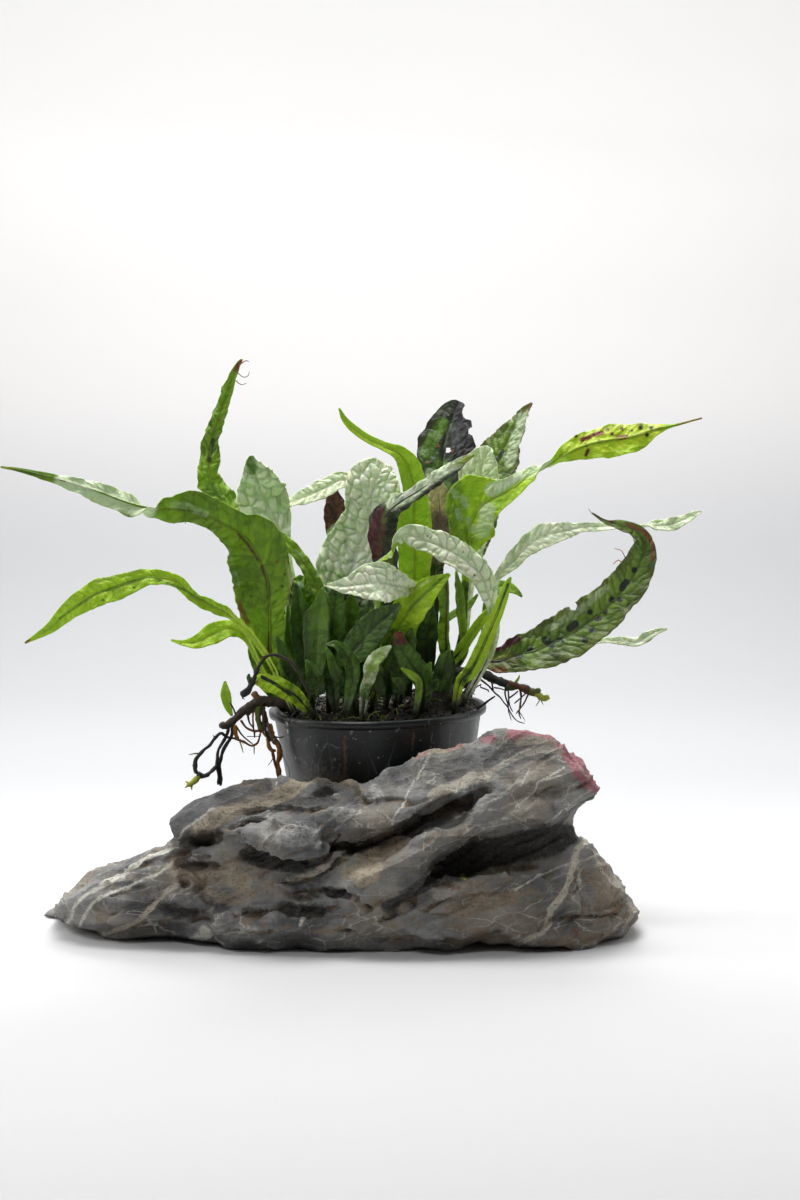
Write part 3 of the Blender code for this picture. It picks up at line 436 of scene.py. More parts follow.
# Stone. Lines and places are pixels of the photograph, heights and depths are millimetres
stoneLook = {
    "voxel": 0.0016,
    "tilt": math.radians(27.0),
    "sharpen": 0.7,
    "ledges": [
        # height, reach below the line in pixels, line drawn so that the recess lies below it
        (2.6, 13, [(171, 824), (178, 842), (188, 836), (200, 831), (214, 832)]),
        (5.0, 16, [(244, 836), (257, 847), (272, 851), (283, 857), (298, 860), (313, 859), (327, 852), (333, 841)]),
        (2.2, 8, [(230, 824), (250, 819), (266, 821)]),
        (2.4, 9, [(250, 811), (277, 809), (307, 808), (324, 806)]),
        (2.0, 9, [(353, 784), (362, 796), (370, 800), (392, 798), (410, 800)]),
        (4.2, 9, [(333, 841), (352, 842), (373, 836), (391, 830), (414, 821), (441, 809), (458, 800), (467, 796)]),
        (3.0, 10, [(287, 880), (313, 877), (326, 871), (337, 858), (353, 847)]),
        (3.4, 12, [(321, 888), (340, 887), (356, 893), (368, 903)]),
        (4.0, 15, [(237, 911), (256, 909), (274, 906), (283, 903), (300, 905), (321, 908), (330, 905)]),
        (2.6, 8, [(290, 892), (305, 889), (318, 893)]),
        (2.2, 8, [(334, 930), (344, 928), (355, 932), (366, 936), (384, 938), (400, 935), (416, 936)]),
        (1.8, 7, [(212, 934), (228, 930), (244, 932), (258, 932), (271, 930)]),
        (3.6, 22, [(388, 910), (400, 899), (411, 896), (420, 884), (432, 866), (450, 853), (470, 841)]),
        (2.0, 10, [(430, 905), (447, 900), (463, 893), (485, 890), (500, 892)]),
        (2.4, 8, [(548, 916), (565, 916), (582, 915), (600, 915), (616, 913)]),
        (1.6, 9, [(106, 884), (122, 877), (133, 869), (146, 862)]),
        (1.6, 8, [(110, 895), (128, 890), (144, 882)]),
        (1.6, 8, [(125, 905), (142, 903), (155, 897), (164, 888)]),
        (1.4, 8, [(96, 906), (112, 913), (132, 911), (149, 903)]),
    ],
    "grooves": [
        # depth, half width in pixels, line
        (2.2, 3.0, [(331, 843), (345, 846), (360, 846), (382, 837), (404, 828), (430, 817), (452, 806), (468, 797)]),
        (1.0, 1.6, [(400, 806), (415, 803), (430, 798)]),
        (0.9, 1.5, [(353, 786), (360, 797), (368, 801)]),
        (0.9, 1.5, [(177, 845), (150, 855), (133, 868), (118, 880)]),
        (0.8, 1.6, [(552, 917), (582, 915), (611, 915)]),
        (0.8, 1.5, [(515, 944), (530, 938), (548, 931)]),
        (0.7, 1.4, [(576, 872), (580, 890), (583, 912)]),
        (0.8, 1.6, [(600, 776), (585, 783), (566, 795)]),
        (0.8, 1.5, [(410, 902), (430, 914), (448, 915), (470, 905)]),
        (0.9, 1.8, [(395, 941), (420, 944), (450, 941), (480, 944)]),
    ],
    "pits": [
        # depth, place, half sizes in pixels
        (4.5, (201, 841), (15, 6)), (3.0, (184, 855), (7, 5)), (3.2, (194, 866), (16, 4)),
        (2.4, (184, 884), (6, 4)), (3.0, (176, 908), (12, 6)), (2.2, (160, 905), (8, 3)),
        (2.6, (303, 912), (16, 5)), (2.2, (305, 898), (12, 4)), (2.4, (338, 893), (12, 5)),
        (2.0, (205, 858), (8, 4)), (2.0, (222, 868), (7, 3)), (2.4, (260, 858), (10, 4)),
        (2.6, (330, 796), (18, 7)), (1.6, (250, 822), (8, 3)), (2.0, (347, 932), (10, 3)),
        (1.6, (524, 868), (14, 4)), (1.8, (443, 884), (14, 5)),
    ],
    "swells": [
        # height, place, half sizes in pixels: rounded facets that stand proud
        (1.6, (280, 840), (34, 13)), (1.2, (345, 818), (26, 14)), (1.4, (205, 812), (24, 14)),
        (1.2, (363, 875), (16, 11)), (1.2, (540, 810), (34, 15)), (1.2, (600, 890), (14, 20)),
        (1.0, (120, 905), (30, 12)), (1.2, (80, 905), (24, 14)), (1.2, (310, 830), (16, 10)),
        (1.0, (390, 770), (24, 10)), (1.0, (520, 770), (34, 12)), (1.3, (570, 942), (34, 8)),
    ],
    "strokes": [
        # the black, dark and shade strokes in the recesses, pits, grooves and under the ledges, and the band along the
        # foot, are painted shade
        ("black", 17, 0.9, [(462, 866), (490, 853), (525, 844), (558, 836)]), ("black", 8, 0.8, [(566, 832), (572, 838)]),
        ("black", 8, 0.8, [(388, 906), (412, 892), (432, 880), (452, 872)]),
        ("dirtAndShade", 4, 0.95, [(335, 846), (360, 848), (382, 842), (407, 831), (434, 815), (457, 802)]),
        ("black", 7, 0.8, [(188, 844), (202, 840), (216, 838)]), ("dirtAndShade", 6, 0.8, [(182, 862), (184, 878)]),
        ("black", 8, 0.75, [(244, 856), (268, 863), (300, 866)]), ("black", 8, 0.75, [(284, 908), (304, 912), (320, 910)]),
        ("black", 5, 0.7, [(326, 890), (348, 896)]), ("black", 7, 0.6, [(164, 908), (180, 914), (194, 912)]),
        ("shade", 6, 0.7, [(256, 800), (290, 803), (330, 800)]), ("black", 6, 0.6, [(320, 784), (340, 786), (354, 790)]),
        ("shade", 12, 0.7, [(238, 794), (262, 787)]), ("darkStone", 20, 0.9, [(180, 828), (208, 812), (238, 800)]),
        ("darkStone", 18, 0.6, [(455, 770), (500, 757), (540, 748)]), ("darkStone", 14, 0.5, [(400, 778), (430, 768)]),
        ("crust", 9, 0.75, [(200, 831), (214, 822), (230, 812), (250, 804), (273, 799), (292, 788), (300, 780)]),
        ("tan", 5, 0.6, [(222, 783), (236, 781), (252, 783), (262, 788)]),
        ("crust", 7, 0.8, [(292, 790), (302, 782), (312, 778)]),
        ("tan", 5, 0.6, [(344, 780), (352, 786), (360, 792)]),
        ("crust", 5, 0.7, [(368, 776), (385, 768), (404, 758), (430, 753), (462, 744)]),
        ("pink", 3, 0.5, [(372, 775), (385, 768)]), ("pink", 4, 0.6, [(448, 748), (462, 744)]),
        ("pink", 4, 0.6, [(484, 741), (494, 738)]), ("pink", 3, 0.4, [(418, 756), (428, 754)]),
        ("pink", 7, 0.85, [(512, 734), (527, 731), (542, 731), (555, 737)]),
        ("pink", 8, 0.95, [(556, 738), (565, 749), (571, 760), (584, 769), (593, 780)]),
        ("pink", 8, 0.8, [(577, 770), (585, 778), (592, 786)]),
        ("cream", 2, 0.6, [(560, 742), (566, 748)]), ("rust", 1.6, 0.5, [(568, 756), (574, 763)]),
        ("cream", 2, 0.5, [(580, 768), (588, 778)]), ("maroon", 1.4, 0.5, [(530, 729), (546, 730)]),
        ("maroon", 1.4, 0.5, [(563, 744), (572, 758), (584, 770)]), ("darkStone", 3, 0.5, [(548, 742), (560, 752)]),
        ("cream", 7, 0.75, [(433, 795), (447, 789), (460, 784), (472, 779), (487, 776)]),
        ("cream", 4, 0.55, [(487, 776), (503, 765), (523, 754), (544, 750), (560, 752)]),
        ("crust", 5, 0.5, [(519, 742), (536, 740), (553, 745)]),
        ("white", 1.5, 0.7, [(516, 808), (536, 790), (537, 783), (564, 768)]),
        ("white", 1.2, 0.6, [(536, 783), (571, 772)]), ("white", 1.1, 0.55, [(493, 802), (521, 786), (530, 770)]),
        ("white", 1.4, 0.6, [(430, 756), (420, 772), (405, 800), (391, 822)]),
        ("white", 1.2, 0.5, [(425, 829), (423, 852)]), ("white", 1.2, 0.5, [(560, 812), (580, 797), (590, 790)]),
        ("white", 1.2, 0.5, [(545, 822), (566, 808)]), ("white", 1.2, 0.45, [(452, 820), (480, 806), (500, 798)]),
        ("cream", 4, 0.9, [(587, 841), (577, 849), (574, 863), (569, 883), (561, 897), (551, 909), (548, 924)]),
        ("cream", 3.5, 0.85, [(548, 924), (543, 932), (526, 940), (508, 948)]),
        ("cream", 2, 0.6, [(574, 863), (590, 858), (606, 852)]), ("cream", 2, 0.6, [(579, 868), (580, 884)]),
        ("white", 1.6, 0.6, [(574, 863), (556, 870), (536, 878), (515, 890)]),
        ("white", 1.4, 0.5, [(600, 870), (622, 890), (640, 905)]),
        ("tan", 16, 0.55, [(600, 878), (608, 896)]), ("dirtAndShade", 10, 0.35, [(588, 902), (602, 908)]),
        ("rust", 3, 0.6, [(612, 912), (620, 905)]), ("tan", 8, 0.55, [(545, 944), (575, 941), (606, 936)]),
        ("rust", 3, 0.6, [(574, 930), (577, 934)]), ("tan", 9, 0.6, [(458, 912), (478, 905), (500, 900), (514, 898)]),
        ("tan", 6, 0.5, [(447, 925), (470, 930), (490, 936)]),
        ("crust", 9, 0.7, [(347, 874), (362, 870), (376, 866)]), ("crust", 8, 0.65, [(362, 882), (373, 876)]),
        ("tan", 7, 0.65, [(372, 856), (388, 850), (400, 842)]), ("tan", 5, 0.55, [(315, 930), (330, 932), (346, 928)]),
        ("cream", 5, 0.55, [(290, 880), (312, 874), (327, 866)]),
        ("crust", 10, 0.55, [(205, 880), (226, 876), (246, 884)]), ("crust", 8, 0.5, [(204, 894), (230, 900), (250, 894)]),
        ("tan", 8, 0.55, [(236, 862), (244, 876)]), ("tan", 7, 0.45, [(270, 888), (286, 892)]),
        ("tan", 9, 0.6, [(172, 862), (186, 876), (200, 880)]), ("dirtAndShade", 9, 0.8, [(190, 842), (204, 838), (216, 836)]),
        ("dirtAndShade", 7, 0.75, [(180, 866), (200, 867), (214, 866)]), ("dirtAndShade", 5, 0.6, [(183, 884)]),
        ("shade", 7, 0.5, [(256, 858), (280, 866), (300, 868)]), ("dirtAndShade", 5, 0.6, [(244, 912), (262, 912)]),
        ("shade", 6, 0.5, [(288, 910), (304, 914), (320, 913)]), ("shade", 5, 0.6, [(345, 852), (364, 848), (384, 840)]),
        ("tan", 5, 0.5, [(432, 822), (452, 812), (464, 803)]), ("white", 2.4, 0.75, [(300, 925), (303, 918)]),
        ("white", 9, 0.6, [(200, 938), (206, 932)]), ("shade", 4, 0.6, [(216, 952), (300, 957), (400, 958), (496, 955)]), ("dirtAndShade", 5, 0.95, [(234, 780), (248, 779), (262, 782)]), ("rust", 2, 0.6, [(240, 779), (252, 778)]),
        ("dirtAndShade", 4, 0.9, [(303, 780), (320, 779), (340, 784), (356, 789)]),
        ("white", 2.2, 0.65, [(61, 929), (71, 919), (77, 904), (90, 893), (107, 884), (122, 876), (131, 867)]),
        ("white", 2.6, 0.65, [(131, 867), (143, 861), (160, 853), (177, 846)]),
        ("white", 2.2, 0.65, [(79, 928), (84, 917), (94, 902), (110, 893), (128, 888), (143, 879), (160, 873), (172, 864)]),
        ("cream", 3.4, 0.8, [(104, 934), (125, 927), (140, 919), (152, 907), (163, 893), (177, 885)]),
        ("white", 1.2, 0.5, [(188, 838), (198, 836)]), ("white", 1.3, 0.5, [(177, 842), (184, 830), (196, 822), (215, 812)]),
        ("darkStone", 10, 0.5, [(225, 797), (245, 795), (266, 790)]), ("darkStone", 10, 0.55, [(312, 800), (336, 795), (352, 800)]),
        ("darkStone", 9, 0.35, [(540, 796), (556, 792)]), ("shade", 14, 0.55, [(450, 866), (490, 852), (530, 850), (556, 845)]),
        ("shade", 9, 0.5, [(424, 884), (440, 880), (458, 874)]), ("paleStone", 8, 0.5, [(375, 790), (379, 798)]),
        ("paleStone", 12, 0.45, [(270, 832), (300, 836), (318, 840)]), ("darkStone", 9, 0.35, [(155, 893), (140, 903)]),
        ("paleStone", 9, 0.4, [(352, 812), (338, 818)]), ("paleStone", 7, 0.45, [(438, 896), (452, 892)]),
        ("rust", 2.5, 0.7, [(452, 890), (458, 888)]), ("yellow", 2, 0.7, [(462, 876), (465, 878)]),
    ],
}


def stoneFinish(look):
    rock = Finish("layeredStone")
    where = rock.place()
    paint, _, cover = rock.attribute("paint")
    _, form, _ = rock.attribute("form")
    hollow, crest = form["Red"], form["Green"]
    beds = rock.place(scale=(14, 30, 150), turn=(0, look["tilt"], 0))
    bedNoise = rock.noise(rock.bend(beds, 0.6, 0.5), 1.0, 5.0, 0.6)
    blotch = rock.noise(where, 42, 5.0, 0.62)
    grain = rock.noise(where, 900, 6.0, 0.7)
    fleck = rock.noise(where, 260, 5.0, 0.65)
    tone = rock.mix(rock.step(blotch, 0.38, 0.62), asColour("525354"), asColour("888886"))
    tone = rock.mix(rock.math("MULTIPLY", rock.step(bedNoise, 0.48, 0.72), 0.7), tone, asColour("96948d"))
    tone = rock.mix(rock.math("MULTIPLY", rock.step(bedNoise, 0.42, 0.24), 0.7), tone, asColour("3d3d3d"))
    warm = rock.noise(where, 24, 3.0, 0.5)
    tone = rock.mix(rock.math("MULTIPLY", rock.step(warm, 0.48, 0.66), 0.5), tone, asColour("8b8069"))
    # hairline veins, in patches
    hair = rock.cells(rock.bend(rock.place(scale=(60, 60, 150), turn=(0, look["tilt"], 0)), 1.2, 0.9), 1.0)
    hairline = rock.math("MULTIPLY", rock.step(hair, 0.035, 0.0), rock.step(rock.noise(where, 55, 2.0), 0.42, 0.60))
    finer = rock.cells(rock.bend(rock.place(scale=(150, 150, 210), turn=(0, 0.9, 0.3)), 1.5, 0.8), 1.0)
    finerLine = rock.math("MULTIPLY", rock.step(finer, 0.03, 0.0), rock.step(rock.noise(where, 70, 2.0), 0.5, 0.66))
    lines = rock.math("MAXIMUM", rock.math("MULTIPLY", hairline, 0.75), rock.math("MULTIPLY", finerLine, 0.5))
    tone = rock.mix(lines, tone, asColour("c3bfb4"))
    # tan crust in the hollows, near-black in the deepest hollows as dirt and painted shade, pale wear on the crests
    crust = rock.math("MULTIPLY", rock.step(hollow, 0.25, 0.8), rock.step(fleck, 0.38, 0.58))
    tone = rock.mix(rock.math("MULTIPLY", crust, 0.75), tone, asColour("8a7355"))
    dirtAndShade = rock.math("MULTIPLY", rock.step(hollow, 0.55, 1.0), rock.step(blotch, 0.35, 0.6))
    tone = rock.mix(rock.math("MULTIPLY", dirtAndShade, 0.85), tone, asColour("25211b"))
    tone = rock.mix(rock.math("MULTIPLY", rock.step(crest, 0.4, 1.0), 0.35), tone, asColour("a5a39d"))
    ragged = rock.math("ADD", cover, rock.span(fleck, -0.62, 0.62))
    ragged = rock.math("ADD", ragged, rock.span(grain, -0.30, 0.30))
    painted = rock.mix(rock.step(grain, 0.52, 0.66), paint, asColour("4a453c"))
    painted = rock.mix(rock.math("MULTIPLY", rock.step(grain, 0.46, 0.34), 0.16), painted, asColour("cfc9bb"))
    tone = rock.mix(rock.math("MULTIPLY", rock.step(ragged, 0.16, 0.78), 0.92), tone, painted)
    shadeGrain = rock.nodes.new("ShaderNodeBrightContrast")
    rock.links.new(tone, shadeGrain.inputs["Color"])
    rock.links.new(rock.span(grain, -0.05, 0.05), shadeGrain.inputs["Bright"])
    fine = rock.bump(grain, 0.0005)
    coarse = rock.bump(fleck, 0.0012, fine)
    layered = rock.bump(bedNoise, 0.0016, coarse)
    return rock.close(shadeGrain.outputs["Color"], rock.span(blotch, 0.62, 0.88), layered)


def selectFaces(item, mask):
    pickOnly(item)
    bpy.ops.object.mode_set(mode="EDIT")
    bpy.ops.mesh.select_mode(type="FACE")
    bpy.ops.mesh.select_all(action="DESELECT")
    bpy.ops.object.mode_set(mode="OBJECT")
    item.data.polygons.foreach_set("select", mask)
    bpy.ops.object.mode_set(mode="EDIT")


def pointNormals(item):
    flat = np.empty(len(item.data.vertices) * 3)
    item.data.vertex_normals.foreach_get("vector", flat)
    return flat.reshape(-1, 3)


def neighbourMean(item, values):
    # the mean of a value over each point's neighbours, along the edges
    edges = np.empty(len(item.data.edges) * 2, np.int64)
    item.data.edges.foreach_get("vertices", edges)
    edges = edges.reshape(-1, 2)
    total = np.zeros_like(values)
    count = np.zeros(len(values))
    for one, other in ((0, 1), (1, 0)):
        np.add.at(total, edges[:, one], values[edges[:, other]])
        np.add.at(count, edges[:, one], 1.0)
    return total / np.maximum(count, 1.0).reshape((-1,) + (1,) * (values.ndim - 1))


def stoneShift(look, points, pixels, normals):
    # how far each point of the stone moves along its normal, in metres
    tilt = look["tilt"]
    sway = noiseAt(points, 0.016, 1.0)
    pixels = pixels + np.column_stack([noiseAt(points, 0.008, 2.0), noiseAt(points, 0.008, 3.0)]) * 2.6
    shift = np.zeros(len(points))
    for height, reach, line in look["ledges"]:
        far, side = fromLine(pixels, line)
        below = np.where(side > 0, 1.0, 0.0) * np.clip(1.0 - far / reach, 0.0, 1.0) ** 1.6
        proud = np.where(side <= 0, 1.0, 0.0) * np.exp(-(far / (0.45 * reach)) ** 2)
        shift += look["sharpen"] * height * (0.3 * proud - 0.85 * below)
    for depth, width, line in look["grooves"]:
        far, _ = fromLine(pixels, line)
        shift -= depth * np.exp(-(far / width) ** 2)
    for depth, place, size in look["pits"]:
        far = np.hypot((pixels[:, 0] - place[0]) / size[0], (pixels[:, 1] - place[1]) / size[1])
        shift -= 0.65 * depth * (1.0 - smoothStep(0.55, 1.15, far))
    for height, place, size in look["swells"]:
        far = np.hypot((pixels[:, 0] - place[0]) / size[0], (pixels[:, 1] - place[1]) / size[1])
        shift += height * (1.0 - smoothStep(0.2, 1.1, far))
    facing = smoothStep(0.0, 0.35, -normals[:, 1] + 0.3 * normals[:, 2]) * smoothStep(0.0, -0.012, points[:, 1] + 0.010)
    shift *= facing
    along = points[:, 0] * math.cos(tilt) + points[:, 2] * math.sin(tilt)
    across = points[:, 2] * math.cos(tilt) - points[:, 0] * math.sin(tilt)
    bedPoints = np.column_stack([along * 0.35, points[:, 1] * 0.5, across])
    bed = across / 0.0062 + 1.5 * noiseAt(bedPoints, 0.010, 4.0) + 0.5 * sway
    ledge = (bed - np.floor(bed)) ** 2.5
    chips = np.array([noise.voronoi(Vector(point) / 0.011)[0][0] for point in bedPoints * np.array([1.6, 1.6, 0.8])])
    shift += 1.3 * (ledge - 0.3) + 1.3 * (chips - 0.4)
    shift += 0.55 * noiseAt(points, 0.0050, 5.0) + 0.28 * noiseAt(points, 0.0022, 6.0)
    return shift * mm


def makeStone(look):
    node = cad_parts["stone"]
    rock = bpy.data.objects.new("stone_rock", node.data.copy())
    bpy.context.scene.collection.objects.link(rock)
    pickOnly(rock)
    bpy.ops.object.mode_set(mode="EDIT")
    bpy.ops.mesh.select_all(action="SELECT")
    bpy.ops.mesh.remove_doubles(threshold=0.00001)
    bpy.ops.object.mode_set(mode="OBJECT")
    applyModifier(rock, "REMESH", mode="VOXEL", voxel_size=look["voxel"])
    applyModifier(rock, "SMOOTH", factor=0.5, iterations=3)
    toView = np.array(viewPoint)
    centres = np.empty(len(rock.data.polygons) * 3)
    rock.data.polygons.foreach_get("center", centres)
    normals = np.empty(len(rock.data.polygons) * 3)
    rock.data.polygons.foreach_get("normal", normals)
    centres = centres.reshape(-1, 3)
    seen = ((toView - centres) * normals.reshape(-1, 3)).sum(axis=1) > 0.06
    selectFaces(rock, seen & (centres[:, 1] < 0.0) & (centres[:, 2] > 0.001))
    bpy.ops.mesh.subdivide(number_cuts=1)
    bpy.ops.object.mode_set(mode="OBJECT")
    points = readPoints(rock)
    low, high = points.min(axis=0), points.max(axis=0)
    pixels = toPhoto(points)
    shift = stoneShift(look, points, pixels, pointNormals(rock))
    # the flat underside and the seat under the pot stay as they are
    potFar = np.hypot(points[:, 0] - potPlace["x"], points[:, 1] - potPlace["y"])
    calm = smoothStep(0.0003, 0.006, points[:, 2]) * smoothStep(0.040, 0.048, potFar - (points[:, 2] - 0.017) * 0.17)
    before = points.copy()
    points = points + pointNormals(rock) * (shift * calm)[:, None]
    points = np.clip(points, low, high)
    points[:, 2] = np.where(before[:, 2] < 0.0006, 0.0, points[:, 2])
    writePoints(rock, points)
    normals = pointNormals(rock)
    local = points
    for _ in range(4):
        local = neighbourMean(rock, local)
    bend = ((points - local) * normals).sum(axis=1) / 0.0009
    hollow = np.clip(0.5 - bend, 0.0, 1.0) * 0.6
    hollow += np.clip(-shift / (3.5 * mm), 0.0, 0.8) * calm
    crest = np.clip(bend, 0.0, 1.0)
    zeros = np.zeros(len(points))
    writeMask(rock, "form", np.column_stack([hollow, crest, zeros, zeros]))
    paint = paintStrokes(pixels, look["strokes"])
    paint[:, 3] *= smoothStep(0.03, -0.02, points[:, 1])
    writeMask(rock, "paint", paint)
    rock.data.materials.clear()
    rock.data.materials.append(stoneFinish(look))
    keepPiece(rock, "stone_rock", ["stone"])
    print("stone:", len(rock.data.polygons), "faces")


makeStone(stoneLook)


# Pot: a thin plastic wall with a rolled lip. Heights and radii are millimetres, from the pot's foot up
potLook = {
    "sides": 160,
    "taper": math.radians(9.5),
    "wall": 1.2,
    "outside": [(0.0, -0.9), (0.4, -0.25), (1.3, 0.0), (22.0, 0.05), (45.0, 0.0), (61.5, 0.0), (64.2, 0.05)],
    "lip": [(64.5, 44.0), (64.9, 44.65), (66.0, 44.85), (67.2, 44.8), (67.8, 44.3), (68.0, 43.6), (67.6, 42.6)],
    "strokes": [
        # the pale stroke down the left side and the broad grey one down the right side are painted reflections; the
        # dark strokes low on the pot, where it meets the stone, are dirt and painted shade
        ("paintedSheen", 2.0, 0.35, [(286, 722), (289, 741), (295, 768)]), ("grey", 3, 0.4, [(478, 722), (473, 744)]),
        ("grey", 1.0, 0.7, [(352, 731), (356, 748), (357, 770)]), ("grey", 0.8, 0.6, [(398, 727), (401, 752)]),
        ("grey", 0.8, 0.6, [(371, 740), (382, 746), (392, 745)]), ("grey", 0.8, 0.5, [(430, 724), (436, 745)]),
        ("brown", 1.5, 0.8, [(341, 734), (346, 741), (349, 752)]), ("brown", 1.2, 0.8, [(412, 729), (416, 738)]),
        ("olive", 1.6, 0.8, [(389, 757), (394, 761)]), ("brown", 1.4, 0.7, [(452, 731), (455, 743)]),
        ("dirtAndShade", 2.4, 0.7, [(331, 764), (340, 769)]), ("tan", 1.0, 0.6, [(442, 750), (447, 754)]),
        ("dirtAndShade", 4, 0.5, [(300, 770), (330, 777), (360, 772)]), ("dirtAndShade", 4, 0.5, [(395, 754), (430, 746), (470, 738)]),
    ],
}


def potFinish():
    plastic = Finish("slatePlastic")
    where = plastic.place()
    paint, _, cover = plastic.attribute("paint")
    wear = plastic.noise(plastic.place(scale=(1, 1, 0.35)), 90, 5.0, 0.65)
    film = plastic.noise(where, 30, 3.0, 0.5)
    tone = plastic.mix(plastic.step(film, 0.38, 0.66), asColour("050707"), asColour("0f1617"))
    scratch = plastic.cells(plastic.bend(plastic.place(scale=(90, 90, 22), turn=(0.5, 0.2, 0)), 0.8, 0.5), 1.0)
    lines = plastic.math("MULTIPLY", plastic.step(scratch, 0.022, 0.0), plastic.step(wear, 0.46, 0.6))
    tone = plastic.mix(plastic.math("MULTIPLY", lines, 0.45), tone, asColour("6d777b"))
    specks = plastic.noise(where, 650, 2.0, 0.5)
    tone = plastic.mix(plastic.math("MULTIPLY", plastic.step(specks, 0.70, 0.76), 0.8), tone, asColour("a59d8c"))
    tone = plastic.mix(plastic.math("MULTIPLY", plastic.step(specks, 0.29, 0.24), 0.7), tone, asColour("3c2c1e"))
    ragged = plastic.math("ADD", cover, plastic.span(specks, -0.4, 0.4))
    tone = plastic.mix(plastic.step(ragged, 0.3, 0.6), tone, paint)
    rough = plastic.math("ADD", plastic.span(wear, 0.28, 0.50), plastic.math("MULTIPLY", lines, 0.25))
    relief = plastic.bump(wear, 0.00022)
    return plastic.close(tone, rough, plastic.bump(specks, 0.00012, relief))


def ringOut(radius, height, before):
    # extrudes the selected ring to a new radius and height, in millimetres
    bpy.ops.mesh.extrude_region_move(TRANSFORM_OT_translate={"value": (0, 0, (height - before[1]) * mm)})
    size = radius / before[0]
    bpy.ops.transform.resize(value=(size, size, 1), center_override=(0, 0, 0))
    return (radius, height)


def makePot(look):
    def wallRadius(height):
        return 45.0 - 1.8 - (68.0 - height) * math.tan(look["taper"])

    rings = [(wallRadius(height) + out, height) for height, out in look["outside"]]
    rings += [(radius, height) for height, radius in look["lip"]]
    inner = [67.0, 60.0, 40.0, 20.0, 1.8]
    rings += [(wallRadius(height) - look["wall"], height) for height in inner]
    pickNothing()
    bpy.ops.mesh.primitive_circle_add(vertices=look["sides"], radius=rings[0][0] * mm, fill_type="NGON")
    pot = bpy.context.object
    bpy.ops.object.mode_set(mode="EDIT")
    bpy.ops.mesh.select_mode(type="EDGE")
    bpy.ops.mesh.select_all(action="SELECT")
    for before, after in zip(rings, rings[1:]):
        ringOut(after[0], after[1], before)
    # the inner floor closes the ring
    bpy.ops.mesh.edge_face_add()
    bpy.ops.mesh.select_all(action="SELECT")
    bpy.ops.mesh.normals_make_consistent(inside=False)
    bpy.ops.object.mode_set(mode="OBJECT")
    pot.matrix_world = potMatrix
    applyPlace(pot)
    points = readPoints(pot)
    paint = paintStrokes(toPhoto(points), look["strokes"])
    paint[:, 3] *= smoothStep(0.0, -0.01, points[:, 1] - potPlace["y"])
    writeMask(pot, "paint", paint)
    pot.data.materials.append(potFinish())
    keepPiece(pot, "fern_pot", ["pot"])
    bpy.ops.object.shade_smooth_by_angle(angle=math.radians(50))
    print("pot:", len(pot.data.polygons), "faces")


makePot(potLook)


# Fronds. A route is written as (pixel x, pixel y, depth from the pot's axis in mm, half width in pixels, roll),
# or with a half width for each side, left and right of the way the frond grows. Roll 90 shows its edge
# the dark green and black-green strokes low on the blades, near the rim, are painted shade of the dense crown
# the silvery strokes on the blades are painted sheen of the overhead light
crown = {"spread": 8.0, "radius": 0.040, "wrap": 22.0, "lieOver": 26.0, "petiole": 0.0010}


def smoothRows(rows, count):
    # even steps along a Catmull-Rom curve through the rows
    rows = np.array(rows, float)
    padded = np.vstack([2 * rows[0] - rows[1], rows, 2 * rows[-1] - rows[-2]])
    knots = np.concatenate([[0.0], np.cumsum(np.linalg.norm(np.diff(rows[:, :3], axis=0), axis=1))])
    result = []
    for place in np.linspace(0.0, knots[-1], count):
        span = min(int(np.searchsorted(knots, place, side="right")) - 1, len(rows) - 2)
        t = (place - knots[span]) / (knots[span + 1] - knots[span])
        a, b, c, d = padded[span:span + 4]
        result.append((2 * b + (c - a) * t + (2 * a - 5 * b + 4 * c - d) * t**2
                       + (3 * b - a - 3 * c + d) * t**3) / 2)
    return np.array(result)


def mediumHeight(x, y):
    away = (x - 0.028) ** 2 + (y + 0.002) ** 2
    return 0.068 - 0.0025 + 0.013 * math.exp(-away / (2 * 0.0085**2))


def bladeRoute(look):
    rim = potPlace["z"] + potPlace["height"]
    rows = []
    for station in look["route"]:
        px, py, depth, left, right, roll = station if len(station) == 6 else (*station[:4], *station[3:])
        height = max(fromPhoto(px, py, potPlace["y"]).z - rim, 0.0)
        point = fromPhoto(px, py, potPlace["y"] + depth * mm * (1.0 + crown["spread"] * height))
        rows.append((*point, left * photo["pixelSize"], right * photo["pixelSize"], roll))
    if "root" in look:
        x, y = look["root"][0] * mm, look["root"][1] * mm
        root = potMatrix @ Vector((x, y, mediumHeight(x, y)))
        heading = (Vector(rows[0][:3]) - root).normalized()
        root.z += 0.0009 + 0.0014 * math.hypot(heading.x, heading.y)
        rows.insert(0, (*root, crown["petiole"], crown["petiole"], rows[0][5]))
    return rows


def unit(rows):
    return rows / np.linalg.norm(rows, axis=1)[:, None]


def bladeFrames(rows):
    # centre, width way and normal of each row of a blade
    centres = rows[:, :3]
    tangent = unit(np.gradient(centres, axis=0))
    toView = unit(np.array(viewPoint) - centres)
    side = unit(np.cross(tangent, toView))
    facing = unit(np.cross(side, tangent))
    sideways = np.clip((centres[:, 0] - potPlace["x"]) / crown["radius"], -1.2, 1.2)
    depth = np.clip((centres[:, 1] - potPlace["y"]) / crown["radius"], -1.2, 1.2)
    lean = np.radians(crown["wrap"] * sideways * depth * np.abs(tangent[:, 2]) + crown["lieOver"] * tangent[:, 0])
    roll = np.radians(rows[:, 5]) + lean
    widthWay = side * np.cos(roll)[:, None] + facing * np.sin(roll)[:, None]
    return centres, tangent, widthWay, np.cross(widthWay, tangent), lean


def gridOn(rowCount, columnCount):
    # a flat grid, and which row and share across each of its points has
    pickNothing()
    bpy.ops.mesh.primitive_grid_add(x_subdivisions=rowCount - 1, y_subdivisions=columnCount - 1, size=2.0)
    item = bpy.context.object
    flat = readPoints(item)
    row = np.rint((flat[:, 0] + 1.0) / 2.0 * (rowCount - 1)).astype(int)
    return item, row, flat[:, 1]


